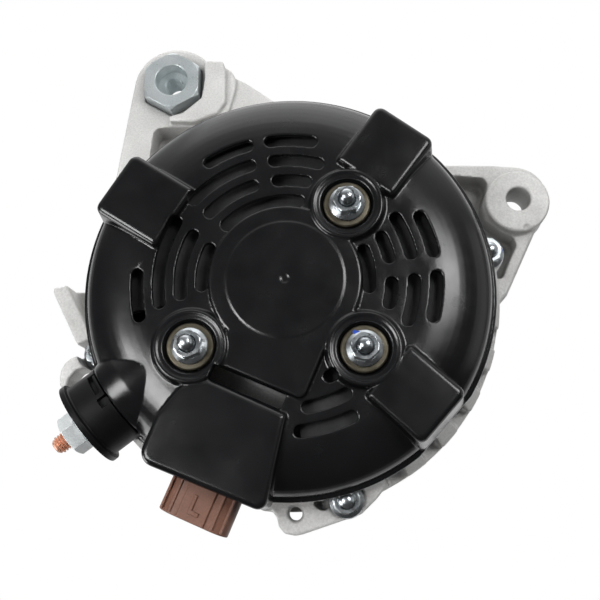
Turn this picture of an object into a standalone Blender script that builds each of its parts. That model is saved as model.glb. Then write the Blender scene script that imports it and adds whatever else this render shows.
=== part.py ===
"""A car alternator as an assembly of separate pieces.

Lengths here are millimetres and angles are degrees; the mesh helpers turn them into metres and
radians. The rotor axis is Y. A station, s, is a place along that axis: it is 0 at the rim of the
rear cover and grows toward the pulley. The part's origin is on the axis at the station of the
mounting ears' front faces. A pole angle is measured from +X toward +Z. A piece that points away
from the axis is made in a turned frame (u, s, w): u runs outward at a pole angle, w is square to it.
"""
import math

import bmesh
import bpy
from mathutils import Vector

MM = 0.001
GAP = 0.3

# driving dimensions
EAR_REAR = 34.0
EAR_FRONT = 51.0
ORIGIN_STATION = EAR_FRONT
COVER_RADIUS = 68.0
COVER_FACE = -14.6
COVER_WALL = 2.2
DOME_START = 45.0
FRAME_RADIUS = 71.3
SKIRT_RADIUS = 69.8
TAIL_START = 10.0
FRAME_BORE = 66.8
REAR_PLATE = 3.5
REAR_FRAME_END = 23.8
FRONT_FRAME_START = 42.0
FRONT_PLATE = 61.0
CORE_RADIUS = 66.2
CORE_BORE = 50.5
CORE_START = 24.2
CORE_END = 45.6
ROTOR_RADIUS = 49.8
SHAFT_END = 112.0

# through studs: pole angles, circle and sizes; the one numbered HEAD_BOLT is screwed in from the pulley side
THROUGH_ANGLES = (13.0, 104.0, 194.4, 285.3)
THROUGH_CIRCLE = 69.7
LUG_STARTS = (14.0, 17.5, 20.0, 10.4)
STUD_RADIUS = 2.5
STUD_HOLE = 2.8
LUG_RADIUS = 6.0
HEAD_BOLT = 1
HEAD_SEAT = 60.3
SPOT_RADIUS = 6.4
HEAD_SPOT_RADIUS = 5.3

# cover studs: (x, z) of each
COVER_STUDS = ((19.6, 24.2), (-29.2, -21.0), (24.4, -22.2))
SLEEVE_FACE = -16.2
SLEEVE_RADIUS = 7.45
COLLAR_RADIUS = 11.8

# mounting ears: (x, z) of the two bolt axes
INSERT_AXIS = (-48.7, 94.2)
PLAIN_EAR_AXIS = (84.5, 43.0)
PLAIN_BOSS_AXIS = (84.1, 42.2)
PLAIN_EAR_BORE = 4.5
INSERT_BORE = 4.7

# the brush holder, regulator and connector lie along one direction, the output stud along another
BRUSH_ANGLE = 247.0
TERMINAL_ANGLE = 217.0
TERMINAL_OFFSET = -4.5
TERMINAL_STATION = 1.0

# cooling slots of the cover: mid radius and the pole angles of their tips
SLOT_HALF_WIDTH = 1.95
SLOTS = (
    (47.1, ((103.2, 124.3), (77.5, 98.6), (8.4, 27.7), (-17.0, 3.1), (174.6, 195.9), (273.3, 297.7))),
    (40.2, ((104.0, 140.2), (72.1, 98.2), (8.8, 32.3), (-21.8, 2.3), (148.1, 192.4), (277.3, 300.1))),
    (33.3, ((105.3, 140.3), (75.4, 97.6), (8.7, 27.6), (-16.7, 1.2), (149.6, 190.5), (291.0, 299.0))),
    (26.4, ((76.7, 139.9), (-9.6, 25.1), (152.1, 187.1))),
)
# each raised box: pole angle, then how far its face reaches across and outward
BOXES = (
    (147.6, -9.7, 12.8, 40.8, 64.4),
    (53.5, -11.8, 10.2, 41.3, 64.2),
    (318.2, -10.9, 9.9, 42.5, 64.0),
)
BOX_FLAT = 66.8

# colours
CAST = (0.52, 0.52, 0.50)
BLACK = (0.018, 0.018, 0.020)
ZINC = (0.62, 0.65, 0.68)
STEEL = (0.45, 0.45, 0.46)
OLIVE = (0.13, 0.115, 0.085)
BROWN = (0.19, 0.075, 0.045)
COPPER = (0.62, 0.20, 0.08)
LAMINATED = (0.05, 0.05, 0.055)
GRAPHITE = (0.03, 0.03, 0.03)

MATERIALS = {
    "cast_aluminium": (CAST, 0.55, 1.0),
    "black_plastic": (BLACK, 0.42, 0.0),
    "zinc_steel": (ZINC, 0.28, 1.0),
    "bare_steel": (STEEL, 0.35, 1.0),
    "olive_steel": (OLIVE, 0.45, 1.0),
    "brown_plastic": (BROWN, 0.45, 0.0),
    "copper": (COPPER, 0.30, 1.0),
    "core_steel": (LAMINATED, 0.50, 1.0),
    "winding_copper": ((0.50, 0.17, 0.06), 0.35, 1.0),
    "graphite": (GRAPHITE, 0.60, 0.2),
    "plate_aluminium": ((0.05, 0.05, 0.052), 0.50, 0.3),
    "dark_plastic": ((0.03, 0.03, 0.033), 0.50, 0.0),
}


# ---------------------------------------------------------------- scene and materials

def clear_scene():
    for old in list(bpy.data.objects):
        bpy.data.objects.remove(old)


def material(name):
    found = bpy.data.materials.get(name)
    if found:
        return found
    colour, roughness, metallic = MATERIALS[name]
    made = bpy.data.materials.new(name)
    made.use_nodes = True
    shader = made.node_tree.nodes["Principled BSDF"]
    shader.inputs["Base Color"].default_value = (*colour, 1.0)
    shader.inputs["Roughness"].default_value = roughness
    shader.inputs["Metallic"].default_value = metallic
    return made


def turned_frame(name, angle):
    """An empty on the rotor axis whose local x points outward at a pole angle."""
    frame = bpy.data.objects.new(name, None)
    frame.rotation_euler = (0.0, -math.radians(angle), 0.0)
    bpy.context.collection.objects.link(frame)
    bpy.context.view_layer.update()
    return frame


# ---------------------------------------------------------------- mesh helpers

def add_object(name, points, faces, slot="cast_aluminium", frame=None, smooth=35.0):
    """A closed mesh from points (u, s, w) in millimetres."""
    mesh = bpy.data.meshes.new(name)
    local = [(u * MM, (s - ORIGIN_STATION) * MM, w * MM) for u, s, w in points]
    mesh.from_pydata(local, [], faces)
    shape = bmesh.new()
    shape.from_mesh(mesh)
    bmesh.ops.recalc_face_normals(shape, faces=shape.faces)
    shape.to_mesh(mesh)
    shape.free()
    mesh.materials.append(material(slot))
    mesh.shade_smooth()
    mesh.set_sharp_from_angle(angle=math.radians(smooth))
    made = bpy.data.objects.new(name, mesh)
    made.parent = frame
    bpy.context.collection.objects.link(made)
    return made


def revolve(name, profile, segments, slot="cast_aluminium", centre=(0.0, 0.0)):
    """Turn a closed profile of (radius, s) points round an axis parallel to Y."""
    points = []
    rings = []
    for radius, s in profile:
        if radius < 1e-6:
            rings.append([len(points)] * segments)
            points.append((centre[0], s, centre[1]))
            continue
        rings.append(list(range(len(points), len(points) + segments)))
        for k in range(segments):
            turn = 2.0 * math.pi * k / segments
            points.append((centre[0] + radius * math.cos(turn), s, centre[1] + radius * math.sin(turn)))
    faces = []
    for ring, after in zip(rings, rings[1:] + rings[:1]):
        if ring[0] == ring[1] and after[0] == after[1]:
            continue
        for k in range(segments):
            j = (k + 1) % segments
            face = list(dict.fromkeys((ring[k], ring[j], after[j], after[k])))
            faces.append(face)
    return add_object(name, points, faces, slot)


def prism(name, outline, s0, s1, slot="cast_aluminium", frame=None, top=None):
    """Extrude an outline of (u, w) points from s0 to s1; top is the outline at s1 if it differs."""
    count = len(outline)
    points = [(u, s0, w) for u, w in outline] + [(u, s1, w) for u, w in (top or outline)]
    faces = [list(range(count)), list(range(count, 2 * count))]
    for k in range(count):
        j = (k + 1) % count
        faces.append([k, j, count + j, count + k])
    return add_object(name, points, faces, slot, frame)


def rod(name, outline, u0, u1, slot="cast_aluminium", frame=None):
    """Extrude an outline of (s, w) points along u."""
    count = len(outline)
    points = [(u0, s, w) for s, w in outline] + [(u1, s, w) for s, w in outline]
    faces = [list(range(count)), list(range(count, 2 * count))]
    for k in range(count):
        j = (k + 1) % count
        faces.append([k, j, count + j, count + k])
    return add_object(name, points, faces, slot, frame)


def arc(centre, radius, start, end, steps):
    """Points of an arc, both ends included."""
    found = []
    for k in range(steps + 1):
        turn = math.radians(start + (end - start) * k / steps)
        found.append((centre[0] + radius * math.cos(turn), centre[1] + radius * math.sin(turn)))
    return found


def circle(centre, radius, steps, turn=0.0):
    return arc(centre, radius, turn, turn + 360.0, steps)[:-1]


def rectangle(u0, u1, w0, w1):
    return [(u0, w0), (u1, w0), (u1, w1), (u0, w1)]


def rounded(outline, radius, steps=2):
    """The outline with each corner replaced by an arc; radius is one value or one for each corner."""
    radii = radius if isinstance(radius, (list, tuple)) else [radius] * len(outline)
    found = []
    for k, corner in enumerate(outline):
        here = Vector(corner)
        before = (Vector(outline[k - 1]) - here).normalized()
        after = (Vector(outline[(k + 1) % len(outline)]) - here).normalized()
        half = before.angle(after) / 2.0
        if radii[k] <= 0.0 or half > math.radians(88.0):
            found.append(tuple(here))
            continue
        reach = radii[k] / math.tan(half)
        middle = here + (before + after).normalized() * (radii[k] / math.sin(half))
        first = here + before * reach - middle
        last = here + after * reach - middle
        sweep = first.angle_signed(last)
        for step in range(steps + 1):
            turn = -sweep * step / steps
            found.append((
                middle.x + first.x * math.cos(turn) - first.y * math.sin(turn),
                middle.y + first.x * math.sin(turn) + first.y * math.cos(turn),
            ))
    return found


def polar(radius, angle):
    turn = math.radians(angle)
    return (radius * math.cos(turn), radius * math.sin(turn))


def sector(inner, outer, start, end, steps):
    """Outline of a ring sector."""
    return arc((0, 0), outer, start, end, steps) + arc((0, 0), inner, end, start, steps)


def arc_slot(middle, half_width, start, end):
    """Outline of a curved slot with round ends whose tips are at the two angles."""
    inset = math.degrees(half_width / middle)
    first = start + inset
    last = end - inset
    steps = max(2, round((last - first) / 11.0))
    outer = arc((0, 0), middle + half_width, first, last, steps)
    far_end = arc(polar(middle, last), half_width, last, last + 180.0, 3)[1:-1]
    inner = arc((0, 0), middle - half_width, last, first, steps)
    near_end = arc(polar(middle, first), half_width, first + 180.0, first + 360.0, 3)[1:-1]
    return outer + far_end + inner + near_end


# These take dozens of cuts, which the exact solver doesn't keep closed.
CASTINGS = ("rear_cover", "rear_end_frame", "drive_end_frame")


def combine(target, tool, operation):
    """Apply a Boolean between two objects and remove the tool."""
    bpy.context.view_layer.update()
    modifier = target.modifiers.new("combine", "BOOLEAN")
    modifier.operation = operation
    modifier.solver = "MANIFOLD" if target.name in CASTINGS else "EXACT"
    modifier.object = tool
    evaluated = target.evaluated_get(bpy.context.evaluated_depsgraph_get())
    mesh = bpy.data.meshes.new_from_object(evaluated)
    target.modifiers.clear()
    spent = target.data
    target.data = mesh
    bpy.data.meshes.remove(spent)
    tool_mesh = tool.data
    bpy.data.objects.remove(tool)
    bpy.data.meshes.remove(tool_mesh)
    return target


def add(target, *tools):
    for tool in tools:
        combine(target, tool, "UNION")


def cut(target, *tools):
    for tool in tools:
        combine(target, tool, "DIFFERENCE")


def finish(made, smooth=35.0):
    """Clean the faces that the Booleans left and set the smooth shading."""
    shape = bmesh.new()
    shape.from_mesh(made.data)
    bmesh.ops.remove_doubles(shape, verts=shape.verts, dist=0.000002)
    bmesh.ops.dissolve_degenerate(shape, edges=shape.edges, dist=0.000001)
    shape.to_mesh(made.data)
    shape.free()
    made.data.shade_smooth()
    made.data.set_sharp_from_angle(angle=math.radians(smooth))
    return made


def copy_to(source, name, x, z):
    """Another object with the same mesh, moved in the plane square to the rotor axis."""
    made = bpy.data.objects.new(name, source.data)
    made.location = (x * MM, 0.0, z * MM)
    bpy.context.collection.objects.link(made)
    return made


# ---------------------------------------------------------------- rear cover

def dome(radius, depth, start, steps=5):
    """The cover's rounded shoulder, from the flat face to the rim."""
    rim = -1.2
    found = []
    for k in range(steps + 1):
        turn = math.radians(90.0 * k / steps)
        found.append((start + (radius - start) * math.sin(turn), rim - (rim - depth) * math.cos(turn)))
    return found


def keyhole(radius, left, right, end, corner):
    """Outline of the raised plate over the slip rings, in the brush frame (u, w)."""
    first = math.degrees(math.asin(right / radius))
    last = 360.0 - math.degrees(math.asin(left / radius))
    outline = arc((0, 0), radius, first, last, 11)
    tail = rounded([(end - 5.0, -left), (end, -left), (end, right), (end - 5.0, right)], [0, 1.0, corner, 0])
    return outline + tail


HOOD = ((37.6, -9.3), (42.3, -16.2), (53.0, -19.7), (68.4, -19.4), (67.4, 22.4), (38.2, 17.2))
HOOD_ROUND = (1.5, 5.0, 8.0, 6.0, 5.0, 2.0)
HOOD_CAVITY = ((40.0, -8.3), (43.6, -14.2), (53.3, -17.2), (65.1, -17.2), (65.1, 18.2), (40.6, 15.3))


def make_cover(brush_frame, terminal_frame):
    outer = [(0.0, COVER_FACE)] + dome(66.4, COVER_FACE, DOME_START)
    lip = [(COVER_RADIUS, -1.2), (COVER_RADIUS, 1.0), (0.0, 1.0)]
    cover = revolve("rear_cover", outer + lip, 44, "black_plastic")
    add(cover, prism("plate", keyhole(24.0, 10.0, 20.0, 32.5, 2.5), -16.5, -12.6, "black_plastic", brush_frame))
    for x, z in COVER_STUDS:
        add(cover, prism("collar", circle((x, z), COLLAR_RADIUS, 18), -17.2, -12.9, "black_plastic"))
    for angle, w0, w1, u0, u1 in BOXES:
        frame = turned_frame("box_frame", angle)
        base = rounded(rectangle(u0 - 1.2, BOX_FLAT, w0 - 1.3, w1 + 1.3), 3.0)
        top = rounded(rectangle(u0, u1, w0, w1), 3.0)
        add(cover, prism("box", base, 0.6, -17.0, "black_plastic", frame, top))
        cut(cover, prism("flat", rectangle(BOX_FLAT, 72.0, w0 - 3.0, w1 + 3.0), -18.0, 2.0, frame=frame))
        bpy.data.objects.remove(frame)
    add(cover, prism("hood", rounded(HOOD, HOOD_ROUND), 3.0, -16.7, "black_plastic", brush_frame))
    centre = (TERMINAL_STATION, TERMINAL_OFFSET)
    add(cover, rod("collar", circle(centre, 15.0, 18), 50.0, 63.4, "black_plastic", terminal_frame))
    add(cover, rod("collar", circle(centre, 13.5, 18), 60.0, 65.6, "black_plastic", terminal_frame))

    clearance = ((0.0, 3.1), (62.0, 3.1), (66.1, 3.9), (72.2, 11.5), (72.2, 30.0), (0.0, 30.0))
    cut(cover, revolve("clearance", clearance, 40))
    inside = dome(64.2, COVER_FACE + COVER_WALL, DOME_START + 1.0, 4)
    hollow = [(0.0, COVER_FACE + COVER_WALL)] + inside + [(64.2, 8.0), (0.0, 8.0)]
    cut(cover, revolve("hollow", hollow, 40))
    cut(cover, prism("pocket", keyhole(21.8, 8.0, 17.8, 31.0, 1.5), -14.3, -9.0, frame=brush_frame))
    for angle, w0, w1, u0, u1 in BOXES:
        frame = turned_frame("box_frame", angle)
        cut(cover, prism("box_pocket", rectangle(u0 + 3.0, 62.5, w0 + 1.8, w1 - 1.8), -14.8, -3.0, frame=frame))
        bpy.data.objects.remove(frame)
    cut(cover, prism("hood_pocket", rounded(HOOD_CAVITY, 1.5), -14.5, 9.0, frame=brush_frame))
    cut(cover, prism("mouth", rectangle(60.0, 74.0, -10.4, 15.2), -11.4, 9.0, frame=brush_frame))
    rim = circle((TERMINAL_STATION, TERMINAL_OFFSET), 14.0, 20)
    cut(cover, rod("rim_notch", rim, 65.6, 80.0, frame=terminal_frame))
    cut(cover, rod("bore", circle((TERMINAL_STATION, TERMINAL_OFFSET), 10.8, 14), 46.0, 70.0, frame=terminal_frame))
    for x, z in COVER_STUDS:
        cut(cover, prism("counterbore", circle((x, z), 8.3, 14), -18.0, -15.4))
        cut(cover, prism("hole", circle((x, z), SLEEVE_RADIUS + GAP, 14), -16.0, -8.0))
    for middle, spans in SLOTS:
        for start, end in spans:
            cut(cover, prism("slot", arc_slot(middle, SLOT_HALF_WIDTH, start, end), -18.5, -11.0))
    cut(cover, prism("window", rectangle(32.9, 37.6, -9.6, 14.6), -19.0, -11.0, frame=brush_frame))
    return finish(cover)


# ---------------------------------------------------------------- cast frames

def side_windows(made, angles, s0, s1, inner, outer):
    for angle in angles:
        frame = turned_frame("window_frame", angle)
        cut(made, prism("window", rectangle(inner, outer, -3.6, 3.6), s0, s1, frame=frame))
        bpy.data.objects.remove(frame)


# the tail lug's outline, from the frame round its hole to the lowest nut
TAIL = ((-7.0, -62.0), (-6.2, -70.4), (-4.3, -73.0), (-3.7, -75.7), (-1.6, -77.9), (1.9, -78.5), (4.4, -78.0),
        (23.2, -71.8), (25.2, -69.9), (28.4, -66.8), (32.0, -62.0))
TAIL_HOLE = (1.9, -71.5)
GUARD = ((-66.0, -15.0), (-71.9, -17.0), (-73.9, -18.9), (-76.2, -19.9), (-77.9, -21.4), (-79.0, -23.8),
         (-79.4, -26.0), (-79.0, -30.0), (-76.6, -30.0), (-76.1, -27.0), (-73.6, -24.0), (-69.6, -22.8),
         (-66.0, -21.5))


def make_rear_frame(terminal_frame, brush_frame):
    profile = (
        (0.0, REAR_PLATE), (62.0, REAR_PLATE), (66.0, 4.5), (FRAME_RADIUS, 12.0), (FRAME_RADIUS, REAR_FRAME_END),
        (0.0, REAR_FRAME_END),
    )
    frame = revolve("rear_end_frame", profile, 48)
    for k, angle in enumerate(THROUGH_ANGLES):
        add(frame, prism("lug", circle(polar(THROUGH_CIRCLE, angle), LUG_RADIUS, 12), LUG_STARTS[k], 23.5))
    add(frame, prism("tail_lug", TAIL, TAIL_START, 17.0))
    add(frame, prism("terminal_guard", GUARD, 12.5, 23.5))
    hollow = (
        (0.0, 0.0), (8.4, 0.0), (8.4, 5.4), (16.3, 5.4), (16.3, 15.0), (20.6, 15.0), (20.6, 8.0), (61.5, 8.0),
        (FRAME_BORE, 13.0), (FRAME_BORE, 30.0), (0.0, 30.0),
    )
    cut(frame, revolve("hollow", hollow, 40))
    for k, angle in enumerate(THROUGH_ANGLES):
        start = LUG_STARTS[k] + 0.7 if k == HEAD_BOLT else 5.0
        cut(frame, prism("hole", circle(polar(THROUGH_CIRCLE, angle), STUD_HOLE, 10), start, 30.0))
        if k != HEAD_BOLT:
            cut(frame, prism("spot_face", circle(polar(THROUGH_CIRCLE, angle), SPOT_RADIUS, 12), -2.0, LUG_STARTS[k]))
    cut(frame, prism("tail_hole", circle(TAIL_HOLE, 2.2, 16), 5.0, 20.0))
    cut(frame, prism("hood_flat", rectangle(68.4, 80.0, -27.0, 23.0), 2.0, 26.0, frame=brush_frame))
    for x, z in COVER_STUDS:
        cut(frame, prism("stud_hole", circle((x, z), STUD_HOLE, 10), 0.0, 12.0))
    for k in range(8):
        middle = 22.5 + 45.0 * k
        cut(frame, prism("vent", sector(41.5, 58.0, middle - 16.0, middle + 16.0, 4), 0.0, 12.0))
    notch = circle((TERMINAL_STATION, TERMINAL_OFFSET), 14.4, 20)
    cut(frame, rod("notch", notch, 52.0, 90.0, frame=terminal_frame))
    angles = [start + 12.0 * k for start in (26.0, 120.0, 300.0) for k in range(5)]
    side_windows(frame, angles, 6.5, 15.5, 63.0, 80.0)
    return finish(frame)


EAR_HEAD = arc((-48.2, 94.0), 16.8, 172.0, 35.0, 9)
UPPER_EAR = [(-58.0, 36.0), (-71.8, 44.0), (-71.2, 54.0)] + EAR_HEAD + [(-28.5, 99.6), (-20.5, 96.0), (0.0, 81.0),
                                                                     (12.0, 66.0), (0.0, 60.0)]
INSERT_SHOULDER = ((-36.0, 103.6), (-28.6, 103.2), (-26.8, 98.0), (-26.8, 85.6), (-29.6, 81.6), (-38.8, 78.2),
                   (-48.9, 78.6), (-49.4, 80.4), (-44.6, 80.6), (-34.9, 86.2), (-34.9, 99.6))
RIGHT_HEAD = arc((83.9, 45.2), 12.6, 85.0, -18.0, 7)
RIGHT_EAR = [(40.0, 55.0), (57.0, 58.8), (75.0, 58.5)] + RIGHT_HEAD + [(79.0, 6.6), (66.0, -6.0), (60.0, 20.0)]
RIGHT_POCKET = ((56.0, 52.0), (70.5, 53.8), (72.6, 50.0), (72.6, 38.0), (77.0, 32.5), (85.0, 30.5), (77.0, 13.0),
                (70.5, 15.0), (66.0, 34.0))


def make_front_frame():
    profile = (
        (0.0, FRONT_FRAME_START), (SKIRT_RADIUS, FRONT_FRAME_START), (SKIRT_RADIUS, 58.5), (66.0, 65.5),
        (32.0, 65.5), (32.0, 75.0), (29.0, 78.0), (0.0, 78.0),
    )
    frame = revolve("drive_end_frame", profile, 48)
    for angle in THROUGH_ANGLES:
        lug = circle(polar(THROUGH_CIRCLE, angle), LUG_RADIUS, 12)
        add(frame, prism("lug", lug, FRONT_FRAME_START + 0.3, 60.0))
    add(frame, prism("upper_ear", UPPER_EAR, 37.0, EAR_FRONT))
    add(frame, prism("shoulder", rounded(INSERT_SHOULDER, 0.8), 33.0, EAR_FRONT - 0.4))
    add(frame, prism("boss", circle(INSERT_AXIS, 14.8, 24), 37.6, EAR_FRONT))
    add(frame, prism("right_ear", RIGHT_EAR, 38.0, EAR_FRONT))
    bar = rounded(((-91.9, 10.6), (-86.0, 11.9), (-75.0, -8.8), (-80.8, -11.9)), 0.6)
    add(frame, prism("side_bar", bar, EAR_REAR, EAR_FRONT))
    add(frame, prism("bar_web", ((-86.0, 11.7), (-66.0, 11.4), (-66.0, -9.0), (-75.6, -8.6)), 46.0, 50.9))
    hollow = (
        (0.0, 30.0), (FRAME_BORE, 30.0), (FRAME_BORE, 55.0), (61.5, FRONT_PLATE), (23.8, FRONT_PLATE),
        (23.8, 75.3), (14.2, 75.3), (14.2, 80.0), (0.0, 80.0),
    )
    cut(frame, revolve("hollow", hollow, 40))
    cut(frame, prism("right_pocket", rounded(RIGHT_POCKET, 2.0, 2), 30.0, 46.0))
    add(frame, prism("right_boss", circle(PLAIN_BOSS_AXIS, 12.1, 24), EAR_REAR, EAR_FRONT))
    cut(frame, prism("ear_bore", circle(PLAIN_EAR_AXIS, PLAIN_EAR_BORE, 24), 30.0, 55.0))
    cut(frame, prism("insert_bore", circle(INSERT_AXIS, 7.4, 24), 30.0, 55.0))
    nut_pocket = circle(INSERT_AXIS, 13.1, 6, 30.0)
    cut(frame, prism("nut_pocket", nut_pocket, 30.0, 38.4))
    ear_pocket = rounded(((-57.5, 66.0), (-54.5, 76.5), (-49.5, 76.0), (-46.0, 80.0), (-39.5, 79.0), (-33.0, 66.0)), 1.2)
    cut(frame, prism("ear_pocket", ear_pocket, 30.0, 47.0))
    for k, angle in enumerate(THROUGH_ANGLES):
        cut(frame, prism("hole", circle(polar(THROUGH_CIRCLE, angle), STUD_HOLE, 10), 30.0, 62.0))
        if k == HEAD_BOLT:
            cut(frame, prism("spot_face", circle(polar(THROUGH_CIRCLE, angle), HEAD_SPOT_RADIUS, 12), 60.0, 70.0))
    for k in range(RETAINER_SCREWS):
        hole = circle(polar(SCREW_CIRCLE, 90.0 + 120.0 * k), 2.1, 12)
        cut(frame, prism("screw_hole", hole, 58.0, 70.0))
    for k in range(12):
        middle = 30.0 * k
        cut(frame, prism("vent", sector(38.5, 56.5, middle - 10.5, middle + 10.5, 3), 58.0, 70.0))
    angles = [start + 18.0 * k for start in (124.0, 214.0, 306.0) for k in range(3)]
    side_windows(frame, angles, 52.5, 60.5, 63.0, 80.0)
    return finish(frame)


# ---------------------------------------------------------------- stator

STATOR_TEETH = 24


def make_stator():
    pitch = 360.0 / STATOR_TEETH
    outline = []
    for k in range(STATOR_TEETH):
        for radius, step in ((CORE_BORE, -0.30), (59.5, -0.30), (59.5, 0.30), (CORE_BORE, 0.30)):
            half = math.degrees(math.asin(2.0 / radius)) if step > 0 else -math.degrees(math.asin(2.0 / radius))
            outline.append(polar(radius, pitch * k + half))
    core = prism("stator_core", circle((0, 0), CORE_RADIUS, 48), CORE_START, CORE_END, "core_steel")
    cut(core, prism("bore", outline, CORE_START - 5.0, CORE_END + 5.0))
    finish(core)
    winding = revolve("stator_winding", ((52.6, 13.6), (60.4, 13.6), (60.9, 23.7), (52.0, 23.7)), 32, "winding_copper")
    add(winding, revolve("crown", ((52.0, 46.1), (60.9, 46.1), (60.4, 56.2), (52.6, 56.2)), 32, "winding_copper"))
    for k in range(STATOR_TEETH):
        frame = turned_frame("slot_frame", pitch * k)
        bar = prism("bar", rectangle(52.9, 59.0, -1.5, 1.5), 22.0, 48.0, "winding_copper", frame)
        add(winding, bar)
        bpy.data.objects.remove(frame)
    finish(winding)


# ---------------------------------------------------------------- rotor

def make_pole(name, back, front, tip, turn):
    """A claw pole: a hub disc with six fingers that taper toward the other pole."""
    pole = revolve(name, ((9.2, back), (34.0, back), (34.0, front), (9.2, front)), 36, "core_steel")
    for k in range(6):
        frame = turned_frame("finger_frame", turn + 60.0 * k)
        arm = arc((0, 0), ROTOR_RADIUS, -17.0, 17.0, 3) + [(30.0, 9.5), (30.0, -9.5)]
        add(pole, prism("arm", arm, back, front, "core_steel", frame))
        root = arc((0, 0), ROTOR_RADIUS - 0.05, -17.0, 17.0, 3) + arc((0, 0), 41.6, 15.0, -15.0, 2)
        point = arc((0, 0), ROTOR_RADIUS - 0.05, -8.0, 8.0, 3) + arc((0, 0), 46.0, 7.0, -7.0, 2)
        middle = (back + front) / 2.0
        add(pole, prism("finger", root, middle, tip, "core_steel", frame, point))
        bpy.data.objects.remove(frame)
    return finish(pole)


def make_fan(name, disc, blade_end, inner, blades, turn):
    """A pressed fan: a thin disc with upright blades."""
    thick = 1.5 if blade_end > disc else -1.5
    fan = revolve(name, ((9.3, disc), (48.0, disc), (48.0, disc + thick), (9.3, disc + thick)), 32, "bare_steel")
    for k in range(blades):
        frame = turned_frame("blade_frame", turn + 360.0 * k / blades)
        blade = [(inner, -0.8), (47.5, 7.0), (46.8, 8.4), (inner, 0.8)]
        add(fan, prism("blade", blade, disc + thick * 0.5, blade_end, "bare_steel", frame))
        bpy.data.objects.remove(frame)
    return finish(fan)


def make_rotor():
    shaft = (
        (0.0, -12.8), (4.2, -12.8), (4.2, 2.2), (7.2, 2.2), (7.2, 15.0), (8.9, 15.0), (8.9, 60.4),
        (8.2, 60.4), (8.2, SHAFT_END - 1.0), (7.2, SHAFT_END), (0.0, SHAFT_END),
    )
    revolve("rotor_shaft", shaft, 20, "bare_steel")
    make_pole("rear_claw_pole", 20.0, 29.0, 49.0, 0.0)
    make_pole("front_claw_pole", 50.0, 41.0, 21.0, 30.0)
    revolve("field_coil", ((9.2, 29.4), (40.8, 29.4), (40.8, 40.6), (9.2, 40.6)), 32, "winding_copper")
    make_fan("rear_fan", 19.7, 10.6, 24.0, 9, 5.0)
    make_fan("front_fan", 50.3, 58.0, 34.5, 9, 12.0)
    hub = (
        (4.5, -12.6), (7.0, -12.6), (7.0, -11.9), (5.7, -11.9), (5.7, -7.1), (7.0, -7.1), (7.0, -6.1), (5.7, -6.1),
        (5.7, -1.3), (7.0, -1.3), (7.0, 1.9), (4.5, 1.9),
    )
    revolve("slip_ring_hub", hub, 16, "dark_plastic")
    for k, s in enumerate((-11.6, -5.8)):
        ring = ((6.0, s), (7.6, s), (7.6, s + 4.2), (6.0, s + 4.2))
        revolve(f"slip_ring_{k + 1}", ring, 18, "copper")
    make_pulley()


def make_pulley():
    grooves = 6
    pitch = 3.56
    back = 82.0
    front = 108.0
    first = (back + front - grooves * pitch) / 2.0
    profile = [(8.6, 75.2), (12.0, 75.2), (12.0, back), (27.6, back), (27.6, first)]
    for k in range(grooves):
        start = first + pitch * k
        profile += [(27.6, start), (25.0, start + pitch / 2.0), (27.6, start + pitch)]
    profile = list(dict.fromkeys(profile))
    profile += [(27.6, front), (23.5, front), (22.0, 100.0), (14.0, 99.0), (8.6, 99.0)]
    revolve("pulley", profile, 28, "bare_steel")
    nut = prism("pulley_nut", circle((0, 0), 13.8, 6, 15.0), 101.4, 110.0, "zinc_steel")
    add(nut, revolve("flange", ((0.0, 99.3), (13.6, 99.3), (13.6, 102.0), (0.0, 102.0)), 24, "zinc_steel"))
    cut(nut, prism("bore", circle((0, 0), 8.5, 24), 98.0, 112.0))
    finish(nut)


# ---------------------------------------------------------------- bearings

RETAINER_SCREWS = 3
SCREW_CIRCLE = 27.6


def race(name, face, back, shoulder, s0, s1, middle, groove):
    """A bearing ring: face is its bore or outside, shoulder its land beside the ball groove."""
    centre = (s0 + s1) / 2.0
    side = 1.0 if shoulder > face else -1.0
    depth = abs(middle - shoulder)
    half = math.degrees(math.acos(depth / groove))
    profile = [(face, s0), (shoulder, s0)]
    for k in range(4):
        turn = math.radians(-half + 2.0 * half * k / 3)
        profile.append((middle - side * groove * math.cos(turn), centre + groove * math.sin(turn)))
    profile += [(shoulder, s1), (face, s1)]
    return revolve(name, profile, back, "bare_steel")


def make_balls(name, count, middle, ball, centre, thick):
    """The balls in their cage, as the one piece that rolls round between the rings."""
    ring = ((middle - 1.0, centre - thick), (middle + 1.0, centre - thick), (middle + 1.0, centre + thick),
            (middle - 1.0, centre + thick))
    cage = revolve(name, ring, 16, "bare_steel")
    for k in range(count):
        u, w = polar(middle, 360.0 * k / count)
        half = [(ball * math.sin(math.radians(45.0 * j)), centre - ball * math.cos(math.radians(45.0 * j)))
                for j in range(5)]
        half[0] = (0.0, centre - ball)
        half[-1] = (0.0, centre + ball)
        add(cage, revolve("ball", half, 6, "bare_steel", (u, w)))
    return finish(cage)


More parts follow.
